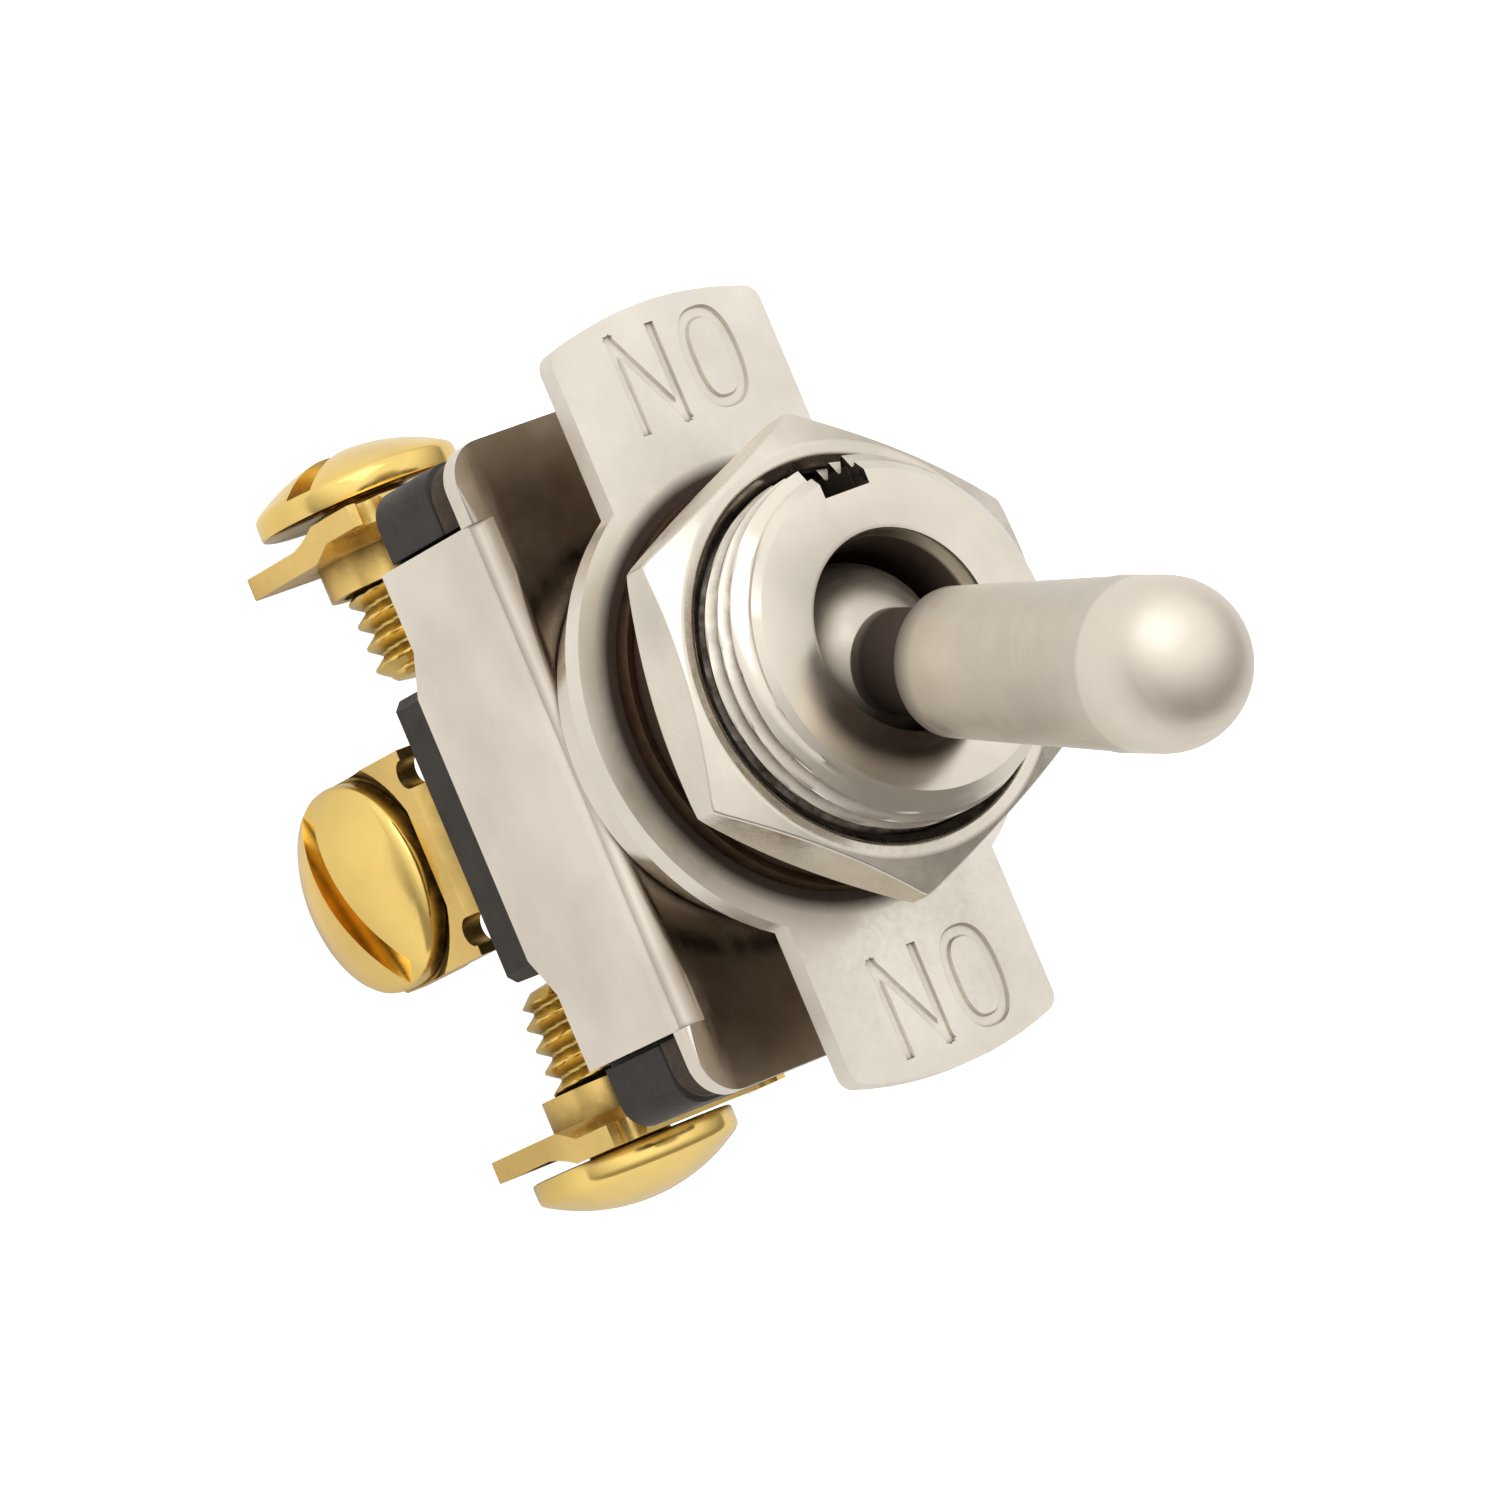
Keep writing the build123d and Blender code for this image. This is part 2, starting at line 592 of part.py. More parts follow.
def end_terminal(outer):
    """Terminal at the +X end."""
    limb_top = CAVITY_FLOOR + STRIP + SEAT
    neck = side_profile(neck_profile(outer, NECK_OUTER, limb_top, LIMB_REACH), NECK_HALF_WIDTH)
    neck -= Pos(CONTACT_X, 0, 0) * rod(CONTACT_STEM_R + SEAT / 2, limb_top - STRIP - PAST, limb_top + PAST)
    return strip_plate(outer, STRIP_TIP_Z) + neck


def centre_terminal():
    """Terminal on the -Y side, whose limb carries the fulcrum."""
    profile = neck_profile(CENTRE_OUTER, CENTRE_NECK_OUTER, CENTRE_LIMB_TOP, -CENTRE_LIMB_REACH)
    neck = side_profile(profile, NECK_HALF_WIDTH)
    neck -= rod(CONTACT_STEM_R + SEAT / 2, BLOCK_BOTTOM, 0)
    return Rot(0, 0, -90) * (strip_plate(CENTRE_OUTER, CENTRE_TIP_Z) + neck)


def terminal_screw(slot_turn):
    """Slotted screw drawn along +Z with its head's underside at zero."""
    screw = domed(HEAD_HIGH, HEAD_R, HEAD_RIM, [
        (HEAD_R, HEAD_BREAK),
        (HEAD_R - HEAD_BREAK, 0),
        (SCREW_R, 0),
        (SCREW_R, -SCREW_LENGTH + SCREW_POINT),
        (SCREW_R - SCREW_POINT, -SCREW_LENGTH),
        (0, -SCREW_LENGTH),
    ])
    slot = box(-AWAY, AWAY, -SLOT_HALF_WIDTH, SLOT_HALF_WIDTH, HEAD_HIGH - SLOT_DEPTH, AWAY)
    return Rot(0, 0, slot_turn) * (screw - slot)


def main():
    save("frame", frame())
    save("insulator", insulator())
    save("base", base())
    save("bushing", bushing())
    save("legend_plate", legend_plate())
    save("lock_washer", lock_washer())
    save("hex_nut", hex_nut())
    save("lever", lever())
    save("lever_pin", lever_pin())
    save("plunger", plunger())
    save("plunger_spring", plunger_spring())
    save("rocker", rocker())
    save("moving_contact_minus_x", moving_contact(-1))
    save("moving_contact_plus_x", moving_contact(1))
    save("fulcrum", fulcrum())
    save("fixed_contact_plus_x", fixed_contact())
    save("fixed_contact_minus_x", Rot(0, 0, 180) * fixed_contact())
    save("terminal_plus_x", end_terminal(STRIP_OUTER["plus_x"]))
    save("terminal_minus_x", Rot(0, 0, 180) * end_terminal(STRIP_OUTER["minus_x"]))
    save("terminal_centre", centre_terminal())
    for end, side in (("plus_x", 0), ("minus_x", 180), ("centre", -90)):
        seat = Pos(SCREW_HEAD_AT[end], 0, SCREW_Z) * Rot(0, 90, 0)
        save(f"screw_{end}", Rot(0, 0, side) * seat * terminal_screw(SCREW_TURNS[end]))


main()
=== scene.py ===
"""Surface detail, finishes and stage of a panel toggle switch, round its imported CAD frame."""
import json
import math

import bmesh
import bpy
from mathutils import Matrix, Vector


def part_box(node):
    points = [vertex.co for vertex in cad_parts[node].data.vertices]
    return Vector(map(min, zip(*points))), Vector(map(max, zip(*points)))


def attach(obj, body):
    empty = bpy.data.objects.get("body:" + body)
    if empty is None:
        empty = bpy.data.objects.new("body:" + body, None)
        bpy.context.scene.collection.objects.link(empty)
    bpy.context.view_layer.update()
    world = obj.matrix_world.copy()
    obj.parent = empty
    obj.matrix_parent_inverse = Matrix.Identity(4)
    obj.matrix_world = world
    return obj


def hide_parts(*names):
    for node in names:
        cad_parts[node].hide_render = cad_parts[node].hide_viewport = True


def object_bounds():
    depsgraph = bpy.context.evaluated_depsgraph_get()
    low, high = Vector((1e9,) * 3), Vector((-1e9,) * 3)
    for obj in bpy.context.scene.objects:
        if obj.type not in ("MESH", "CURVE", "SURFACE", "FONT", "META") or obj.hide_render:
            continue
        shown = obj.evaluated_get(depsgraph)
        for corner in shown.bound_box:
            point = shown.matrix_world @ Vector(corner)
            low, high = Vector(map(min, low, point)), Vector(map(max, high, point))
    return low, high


bl_info = {
    "name": "Panel toggle switch",
    "version": (1, 0, 0),
    "blender": (4, 5, 0),
    "location": "View3D > Sidebar > Switch",
    "description": "Builds the pieces, finishes and stage of a panel toggle switch",
    "category": "Object",
}

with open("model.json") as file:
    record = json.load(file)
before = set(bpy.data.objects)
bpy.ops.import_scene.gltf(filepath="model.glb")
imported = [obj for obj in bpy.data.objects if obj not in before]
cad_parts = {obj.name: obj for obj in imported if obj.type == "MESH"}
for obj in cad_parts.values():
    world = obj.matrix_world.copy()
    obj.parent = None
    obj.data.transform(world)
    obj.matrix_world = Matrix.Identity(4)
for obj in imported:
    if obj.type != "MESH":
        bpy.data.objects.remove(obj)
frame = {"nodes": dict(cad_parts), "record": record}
CAD_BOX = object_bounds()

# Lengths here are in mm and heights count from the top of the frame plate, as in the CAD source.
MM = 0.001
ORIGIN_UP = 8.60  # height of the frame's origin
UPRIGHT = Matrix.Identity(4)
SEAT = 0.01  # gap between resting pieces
TOUCH = 1e-3  # distance at which a point counts as on a surface
MERGE = 1e-4  # distance at which two points become one
IN_LINE = 0.01  # distance within which two points line up
FLAT = 0.5  # degrees up to which neighbouring triangles are one face

# Steps round a turned shape
ROUND = 160
NUT_ROUND = 180
SCREW_ROUND = 96
HOLE_ROUND = 48
LETTER_ROUND = 64

# Bushing
FLANGE_R = 7.00
FLANGE_TOP = 2.90
FLANGE_FOOT_BREAK = 0.10
FLANGE_BREAK = 0.08
THREAD_R = 5.95
THREAD_TOP = 10.00
THREAD_PLAIN = 0.30  # plain length over the flange before the thread starts
THREAD_FADE = 0.40  # length in which the thread reaches its depth
THREAD_CHAMFER = 0.70
THREAD_STEPS = 124
CREST_SHARE = 0.12
ROOT_SHARE = 0.18
SPIGOT_R = 4.90
STAKE_R = 5.30
STAKE_Z = -1.17
STAKE_HIGH = 0.40
STAKE_STEP = 0.02
MOUTH_R = 3.27
MOUTH_BREAK = ((0.20, 0.0), (0.06, 0.05), (0.0, 0.18))  # how far out and down its rounded edge runs
WELL_R = 4.10
WELL_TOP = 2.40
WELL_CONE = 1.00
KEYWAY_HALF_WIDTH = 0.90
KEYWAY_FLOOR = 4.70
PIN_HOLE_CLEAR = 0.005

# Nut
NUT_FLATS = 13.95
NUT_TURN = -7.8
NUT_FACE_R = 6.80
NUT_BEVEL_SLOPE = 0.577
NUT_HOLE_R = 6.02
NUT_PRISM = 2.38  # height of the hexagon, which stands on a round foot
NUT_FOOT_R = 6.70
NUT_WALL_R = 7.50  # radius of the spun wall, before it is drawn out to the hexagon
NUT_WALL_STEP = 0.20
NUT_SINK = 0.38
NUT_SINK_DEPTH = 0.35
NUT_BORE_CLEAR = 0.03
NUT_THREAD_DEPTH = 0.08
NUT_THREAD_STEPS = 36
NUT_CORNER_BREAK = 0.03

# Legend plate
TAB_MIDDLES = (-10.80, 10.70)
LETTER_N_EDGE = -0.18
LETTER_GAP = 1.00
STROKE_FOOT = (0.97, 0.60)  # length and width of a stroke's foot, as shares of its top
STROKE_SPLAY = 0.30  # how far the round letter's walls lean, as a share of the stroke's half width
OVAL_POWER = 2.6

# Lever
PIVOT_Z = 6.20
LEVER_TILT = 16.5
BALL_R = 3.10
BALL_FILLET = 0.25
PIN_R = 0.75
LEVER_HOLE_CLEAR = 0.04
NECK_R = 1.70
NECK_FILLET = 0.12
BAT_START = 5.60
BAT_START_R = 2.38
BAT_START_ROUND = 0.22
BAT_R = 2.73
BAT_RING = 14.30
BAT_RING_STEP = (0.035, 0.12)  # how far in and down the taper ends under the ring
BAT_DOME = 16.20
ARM_R = 1.60
ARM_END = 8.30
ARM_BREAK = 0.12
ARM_FILLET = 0.30
BORE_R = 0.94
BORE_DEPTH = 5.20
BORE_BREAK = 0.10

# Terminal screws: how far each head stands out, the way it faces and the turn of its slot
SCREW_Z = -16.20
SCREWS = {
    "screw_plus_x": (11.15, 0, 124),
    "screw_minus_x": (12.20, 180, 115),
    "screw_centre": (5.15, -90, 109),
}
SCREW_R = 1.75
SCREW_LENGTH = 6.10
SCREW_TIP = ((0.0, 0.0), (0.55, 0.0), (0.90, 0.06))  # radius and height over the end
SCREW_THREAD_START = 0.12
SCREW_THREAD_END = -0.25
SCREW_THREAD_STEPS = 120
SCREW_CREST_SHARE = 0.10
SCREW_ROOT_SHARE = 0.14
SCREW_TAPER_R = 1.05
SCREW_TAPER_SLOPE = 1.10
SCREW_UNDERCUT = ((1.45, -0.15), (1.50, 0.0))
HEAD_R = 3.60
HEAD_HIGH = 1.90
HEAD_RIM = 0.84
HEAD_BREAK = 0.12
HEAD_BREAK_STEP = 0.03
HEAD_RIM_BREAK = 0.26
SLOT_HALF_WIDTH = 0.52
SLOT_HALF_LENGTH = 5.00
SLOT_DEPTH = 1.10

# Grime and painted shade, and the lighter dome: the radii, or the heights over the pivot, between which each
# fades
THREAD_GRIME_AND_SHADE_RADII = (5.52, 5.66)
THREAD_GRIME_AND_SHADE_TOP = (2.90, 3.10)
NECK_GRIME_AND_SHADE_TOP = (5.50, 6.60)
BALL_GRIME_AND_SHADE_TOP = (2.50, 3.10)
FOOT_SHADE_AND_GRIME_TOP = (-0.95, -0.75)
DISC_GRIME_AND_SHADE_RADII = (7.20, 7.70)
DOME_LIGHTENING_START = (15.20, 15.40)

# Strength of the grime and painted shade, as a share of the full mask, and how far the colour is lifted on
# the lever's dome
THREAD_GRIME_AND_SHADE = 0.85
NECK_GRIME_AND_SHADE = 0.85
BALL_GRIME_AND_SHADE = 0.10
FOOT_SHADE_AND_GRIME = 0.95
DISC_GRIME_AND_SHADE = 0.92
DIRT_AND_SHADE_DULLING = 0.35  # what the full mask of grime and painted shade adds to the roughness
DOME_LIGHTENING = 1.13

# Noise, in cells to the metre
TONE_CELLS = 240
TARNISH_AND_REFLECTION_CELLS = 500
SMUDGE_CELLS = 700
DIRT_AND_SHADE_CELLS = 1500

# Colour sockets of a mix node
MIX_FIRST = 6
MIX_SECOND = 7
MIX_RESULT = 2

# The way a finish is brushed, as shares of its grain along X, Y and Z
EVEN = (1, 1, 1)
BRUSHED_X = (0.2, 1, 1)
TURNED = (0.12, 0.12, 1)

# Stage
FLOOR_HALF_SIZE = 3.0  # m
FLOOR_DROP = 0.05
FLOOR_SEEN = 0.90  # light of the floor towards the camera
FLOOR_MIRRORED = 0.15  # and towards polished and clear faces
SKY_STRENGTH = 1.12
SKY_WAY = (-0.55, -0.10, 0.83)
SKY_DARK = (0.30, 0.28, 0.26, 1)
SKY_PALE = (1.0, 0.99, 0.97, 1)
SKY_PALE_FROM = 0.70
LAMP_AT = (-120, -60, 160)
LAMP_SIZE = 150
LAMP_POWER = 0.06
CAMERA_AT = (17.5, -179.3, 262.1)
CAMERA_TARGET = (1.167, -0.046, -0.54)
CAMERA_ROLL = 62.84
CAMERA_LENS = 237.3
CAMERA_SENSOR = 36
CAMERA_CLIP = (0.01, 20)  # m


def length(name, description, millimetres):
    """A length that the user may change."""
    return bpy.props.FloatProperty(
        name=name,
        description=description,
        default=millimetres * MM,
        min=0.0,
        precision=5,
        subtype="DISTANCE",
        unit="LENGTH",
    )


def colour(name, description, default):
    """A colour that the user may change."""
    return bpy.props.FloatVectorProperty(
        name=name,
        description=description,
        default=default,
        size=3,
        min=0.0,
        max=1.0,
        subtype="COLOR",
    )


class SwitchSizes(bpy.types.PropertyGroup):
    """Sizes of the detail that the solids leave out"""

    thread_pitch: length("Thread pitch", "Rise of each thread in one turn", 0.794)
    thread_depth: length("Thread depth", "Depth of the bushing's thread", 0.47)
    screw_thread_depth: length("Screw thread depth", "Depth of the terminal screws' thread", 0.42)
    letter_half_height: length("Letter half height", "Half the height of the legend's letters", 1.52)
    letter_half_width: length("Letter half width", "Half the width of the legend's letters", 0.84)
    stroke_half_width: length("Stroke half width", "Half the width of a letter's stroke", 0.22)
    stroke_depth: length("Stroke depth", "Depth of a letter's stroke", 0.13)
    sheet_edge: length("Sheet edge", "Rounding of the edges of pressed sheet", 0.06)
    frame_bend: length("Frame bend", "Outer rounding where the frame's walls are folded", 0.30)
    strip_bend: length("Strip bend", "Rounding of the folds and dishes of the terminals", 0.13)
    moulding_edge: length("Moulding edge", "Rounding of the base's edges", 0.10)
    nut_edge: length("Nut edge", "Rounding of the nut's corners", 0.09)


class SwitchFinishes(bpy.types.PropertyGroup):
    """Colours of the switch's metals and mouldings"""

    frame_steel: colour("Frame steel", "Plated steel of the frame", (0.84, 0.77, 0.67))
    # Tarnish, and a painted dark reflection of the legend plate's shaded underside, on the frame's top
    stain: colour("Stain", "Tarnish on the top of the frame", (0.30, 0.24, 0.18))
    bushing_nickel: colour("Bushing nickel", "Plating of the bushing", (0.80, 0.74, 0.645))
    nut_nickel: colour("Nut nickel", "Plating of the nut", (0.79, 0.73, 0.635))
    lever_nickel: colour("Lever nickel", "Satin plating of the lever", (0.69, 0.635, 0.55))
    legend_metal: colour("Legend metal", "Etched pale metal of the legend plate", (0.86, 0.81, 0.72))
    # Very dark: soiled steel, and painted shade for the dark band under the nut
    washer_steel: colour("Washer steel", "Soiled steel of the lock washer", (0.17, 0.11, 0.07))
    bare_steel: colour("Bare steel", "Pin and spring", (0.52, 0.52, 0.51))
    copper: colour("Copper", "Rocker", (0.76, 0.42, 0.27))
    silver: colour("Silver", "Contacts", (0.85, 0.85, 0.83))
    strip_brass: colour("Strip brass", "Terminals and fulcrum", (0.94, 0.66, 0.22))
    screw_brass: colour("Screw brass", "Terminal screws", (1.0, 0.72, 0.23))
    moulding: colour("Moulding", "Black phenolic of the base", (0.030, 0.024, 0.019))
    card: colour("Card", "Brown fibre card", (0.060, 0.042, 0.028))
    nylon: colour("Nylon", "Plunger", (0.72, 0.69, 0.60))
    # Colour of grime, also used as painted shade in threads, corners, at the lever's neck and under the nut
    grime: colour("Grime", "Dirt in threads and corners", (0.045, 0.017, 0.008))


def sizes():
    """The user's sizes, in mm by name."""
    group = bpy.context.scene.switch_sizes
    return {name: getattr(group, name) / MM for name in SwitchSizes.__annotations__}


def finishes():
    """The user's colours, by name."""
    group = bpy.context.scene.switch_finishes
    return {name: tuple(getattr(group, name)) for name in SwitchFinishes.__annotations__}


def place(x, y, z):
    """A point in mm of the switch as metres of the frame."""
    return Vector((x * MM, y * MM, (z - ORIGIN_UP) * MM))


def to_frame(turn):
    """From mm of the switch, turned first, to metres of the frame."""
    return Matrix.Scale(MM, 4) @ Matrix.Translation((0, 0, -ORIGIN_UP)) @ turn


def heights(node):
    """Lowest and highest z of a CAD node, in mm."""
    low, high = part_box(node)
    return low.z / MM + ORIGIN_UP, high.z / MM + ORIGIN_UP


def lever_turn():
    """From the upright lever, with its pivot at zero, to its stored tilt."""
    return Matrix.Translation((0, 0, PIVOT_Z)) @ Matrix.Rotation(math.radians(LEVER_TILT), 4, "Y")


def to_object(bm, name, sharp):
    """Turns a finished bmesh, in metres, into an object; sharp as in smooth()."""
    mesh = bpy.data.meshes.new(name)
    bm.to_mesh(mesh)
    bm.free()
    piece = bpy.data.objects.new(name, mesh)
    bpy.context.scene.collection.objects.link(piece)
    smooth(mesh, sharp)
    return piece


def smooth(mesh, sharp):
    """Smooth shading, but edges over sharp degrees stay sharp."""
    mesh.shade_smooth()
    mesh.set_sharp_from_angle(angle=math.radians(sharp))


def shaped(name, shape, turn=UPRIGHT, sharp=35.0):
    """A new object from shape(bm), which works in mm."""
    bm = bmesh.new()
    shape(bm)
    bmesh.ops.remove_doubles(bm, verts=bm.verts, dist=MERGE)
    bmesh.ops.recalc_face_normals(bm, faces=bm.faces)
    bmesh.ops.transform(bm, matrix=to_frame(turn), verts=bm.verts)
    return to_object(bm, name, sharp)


def merged_copy(node, sharp=30.0):
    """A copy of a CAD node's mesh with its loose triangles joined into whole faces."""
    bm = bmesh.new()
    bm.from_mesh(frame["nodes"][node].data)
    bmesh.ops.remove_doubles(bm, verts=bm.verts, dist=MERGE * MM)
    bmesh.ops.dissolve_limit(bm, angle_limit=math.radians(FLAT), verts=bm.verts, edges=bm.edges)
    return to_object(bm, node + "_body", sharp)


def slot_of(node):
    """The material slot that the record gives a CAD node."""
    return next(row["material_slot"] for row in frame["record"]["subparts"] if row["node"] == node)


def body_of(node):
    """The body that a CAD node moves with."""
    bodies = frame["record"]["behaviour"]["bodies"]
    return next(body for body, members in bodies.items() if node in members)


def coat(mesh, slot):
    """Gives a mesh the finish of a slot, and no other."""
    mesh.materials.clear()
    mesh.materials.append(finish(slot))


def stand_for(piece, node):
    """Puts a piece in the place of a CAD node, with its body, slot and finish."""
    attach(piece, body_of(node))
    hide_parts(node)
    coat(piece.data, slot_of(node))


def dress(*nodes):
    """Gives CAD nodes that stay their finish."""
    for node in nodes:
        coat(frame["nodes"][node].data, slot_of(node))


def soften(piece, width, segments=2, angle=40.0):
    """Rounds the edges over angle degrees, width in mm."""
    rounding = piece.modifiers.new("edges", "BEVEL")
    rounding.width = width * MM
    rounding.segments = segments
    rounding.limit_method = "ANGLE"
    rounding.angle_limit = math.radians(angle)
    even = piece.modifiers.new("even shading", "WEIGHTED_NORMAL")
    even.keep_sharp = True


def cut_away(piece, cutters, sharp):
    """Subtracts the cutters from a piece and removes them; sharp as in smooth()."""
    for cutter in cutters:
        step = piece.modifiers.new("cut", "BOOLEAN")
        step.operation = "DIFFERENCE"
        step.solver = "EXACT"
        step.object = cutter
    graph = bpy.context.evaluated_depsgraph_get()
    mesh = bpy.data.meshes.new_from_object(piece.evaluated_get(graph))
    piece.modifiers.clear()
    piece.data = mesh
    smooth(mesh, sharp)
    for cutter in cutters:
        bpy.data.objects.remove(cutter)


def spun(bm, outline, steps=ROUND, closed=False):
    """Spins an outline of (radius, height) points once round the Z axis."""
    verts = [bm.verts.new((radius, 0, z)) for radius, z in outline]
    ends = verts[1:] + verts[:1] if closed else verts[1:]
    edges = [bm.edges.new(pair) for pair in zip(verts, ends)]
    once = dict(cent=(0, 0, 0), axis=(0, 0, 1), angle=math.tau, use_merge=True)
    bmesh.ops.spin(bm, geom=verts + edges, steps=steps, **once)


def arc(centre, radius, start, end, steps):
    """Points of an arc in degrees, as (radius, height) pairs."""
    points = []
    for k in range(steps + 1):
        angle = math.radians(start + (end - start) * k / steps)
        points.append((centre[0] + radius * math.cos(angle), centre[1] + radius * math.sin(angle)))
    return points


def rise(radius, low, high, steps):
    """Points up a straight wall, close enough together to carry a thread."""
    return [(radius, low + (high - low) * k / steps) for k in range(steps + 1)]


def cut_thread(bm, outer, depth, low, high, limit, crest=CREST_SHARE, root=ROOT_SHARE):
    """Sinks a thread into the wall of radius outer between two heights.

    depth(z) is its depth there and limit(z) caps its radius. The crest and the root stay level
    over those shares of half the pitch.
    """
    pitch = sizes()["thread_pitch"]
    for vert in bm.verts:
        radius = vert.co.xy.length
        z = vert.co.z
        if abs(radius - outer) > TOUCH or not low - MERGE <= z <= high + MERGE:
            continue
        phase = (z / pitch - math.atan2(vert.co.y, vert.co.x) / math.tau) % 1.0
        share = min(1.0, max(0.0, (abs(phase - 0.5) * 2 - root) / (1 - crest - root)))
        vert.co.xy *= min(outer - depth(z) * (1 - share), limit(z)) / radius


def block(bm, low, high):
    """A block between two corners."""
    made = bmesh.ops.create_cube(bm, size=1)["verts"]
    bmesh.ops.scale(bm, vec=[b - a for a, b in zip(low, high)], verts=made)
    bmesh.ops.translate(bm, vec=[(a + b) / 2 for a, b in zip(low, high)], verts=made)


def cross_hole(bm, radius):
    """A cutter along Y through the pivot, with the pivot at zero."""
    wide = 2 * (FLANGE_R + 1)
    bmesh.ops.create_cone(bm, cap_ends=True, segments=HOLE_ROUND, radius1=radius, radius2=radius, depth=wide)
    across = Matrix.Rotation(math.radians(90), 3, "X")
    bmesh.ops.rotate(bm, cent=(0, 0, 0), matrix=across, verts=bm.verts)


def bushing_shape(bm):
    """Stake, flange, threaded barrel, mouth and well of the bushing."""
    stake_top = STAKE_Z + STAKE_HIGH
    outline = [(STAKE_R, STAKE_Z), (STAKE_R, stake_top), (SPIGOT_R, stake_top + STAKE_STEP), (SPIGOT_R, SEAT)]
    outline += [(FLANGE_R - FLANGE_FOOT_BREAK, SEAT), (FLANGE_R, SEAT + FLANGE_FOOT_BREAK)]
    outline += [(FLANGE_R, FLANGE_TOP - FLANGE_BREAK), (FLANGE_R - FLANGE_BREAK, FLANGE_TOP)]
    outline += rise(THREAD_R, FLANGE_TOP, THREAD_TOP, THREAD_STEPS)
    outline += [(MOUTH_R + out, THREAD_TOP - down) for out, down in MOUTH_BREAK]
    outline += [(MOUTH_R, WELL_TOP + WELL_CONE), (WELL_R, WELL_TOP), (WELL_R, STAKE_Z)]
    spun(bm, outline, closed=True)
    full = sizes()["thread_depth"]

    def depth(z):
        return full * min(1.0, max(0.0, (z - FLANGE_TOP - THREAD_PLAIN) / THREAD_FADE))

    def chamfer(z):
        return THREAD_R - max(0.0, z - THREAD_TOP + THREAD_CHAMFER)

    cut_thread(bm, THREAD_R, depth, FLANGE_TOP, THREAD_TOP, chamfer)


def nut_shape(bm):
    """Threaded ring with its wall drawn out to a bevelled hexagon, a corner on the X axis."""
    low, high = heights("hex_nut")
    foot = high - NUT_PRISM
    sink_r = NUT_HOLE_R + NUT_SINK
    bore_r = NUT_HOLE_R + NUT_BORE_CLEAR
    bore_low = low + NUT_SINK_DEPTH
    bore_high = high - NUT_SINK_DEPTH
    outline = [(NUT_FOOT_R, low), (NUT_FOOT_R, foot)]
    outline += [(NUT_WALL_R, foot + NUT_WALL_STEP), (NUT_WALL_R, high - NUT_WALL_STEP)]
    outline += [(NUT_FACE_R, high), (sink_r, high)]
    outline += rise(bore_r, bore_high, bore_low, NUT_THREAD_STEPS)
    outline += [(sink_r, low)]
    spun(bm, outline, NUT_ROUND, closed=True)
    cut_thread(bm, bore_r, lambda z: NUT_THREAD_DEPTH, bore_low, bore_high, lambda z: bore_r)
    corner_r = NUT_FLATS / math.sqrt(3) - NUT_CORNER_BREAK
    for vert in bm.verts:
        radius = vert.co.xy.length
        if abs(radius - NUT_WALL_R) > TOUCH:
            continue
        off = math.atan2(vert.co.y, vert.co.x) % math.radians(60) - math.radians(30)
        reach = min(NUT_FLATS / 2 / math.cos(off), corner_r)
        drop = (reach - NUT_FACE_R) * NUT_BEVEL_SLOPE
        vert.co.xy *= reach / radius
        vert.co.z = high - drop if vert.co.z > foot + NUT_PRISM / 2 else foot + drop


def straight_stroke(bm, start, end):
    """Cutter of a letter's straight stroke, narrower at its foot."""
    size = sizes()
    top = heights("legend_plate")[1]
    run = Vector(end) - Vector(start)
    half = size["stroke_half_width"]
    made = bmesh.ops.create_cube(bm, size=1)["verts"]
    foot = [vert for vert in made if vert.co.z < 0]
    bmesh.ops.scale(bm, vec=(run.length + 2 * half, 2 * half, size["stroke_depth"] * 2), verts=made)
    bmesh.ops.scale(bm, vec=(*STROKE_FOOT, 1), verts=foot)
    turn = Matrix.Rotation(math.atan2(run.y, run.x), 3, "Z")
    bmesh.ops.rotate(bm, cent=(0, 0, 0), matrix=turn, verts=made)
    middle = (Vector(start) + Vector(end)) / 2
    bmesh.ops.translate(bm, vec=(middle.x, middle.y, top), verts=made)


def round_stroke(bm, centre_x, centre_y):
    """Cutter of the letter O: a grooved ring drawn out to a squarish oval."""
    size = sizes()
    top = heights("legend_plate")[1]
    half = size["stroke_half_width"]
    deep = size["stroke_depth"]
    wide = half * (1 + STROKE_SPLAY)
    narrow = half * (1 - STROKE_SPLAY)
    outline = [(1 - wide, top + deep), (1 + wide, top + deep)]
    outline += [(1 + narrow, top - deep), (1 - narrow, top - deep)]
    spun(bm, outline, LETTER_ROUND, closed=True)
    for vert in bm.verts:
        out = vert.co.xy.length - 1
        way = vert.co.xy.normalized()
        oval = (abs(way.x) ** OVAL_POWER + abs(way.y) ** OVAL_POWER) ** (-1 / OVAL_POWER)
        vert.co.x = centre_x + way.x * (size["letter_half_height"] * oval + out)
        vert.co.y = centre_y + way.y * (size["letter_half_width"] * oval + out)


def word_cutters(centre_x):
    """Cutters of the word ON, read along -Y with +X up, on one tab of the legend plate."""
    size = sizes()
    tall = size["letter_half_height"]
    wide = size["letter_half_width"]
    near = LETTER_N_EDGE
    far = near - 2 * wide
    middle = near + LETTER_GAP + wide
    cutters = [shaped("letter_o", lambda bm: round_stroke(bm, centre_x, middle))]
    corners = [(centre_x + up, y) for y in (near, far) for up in (-tall, tall)]
    for start, end in zip(corners, corners[1:]):
        cutters.append(shaped("letter_n", lambda bm: straight_stroke(bm, start, end)))
    return cutters


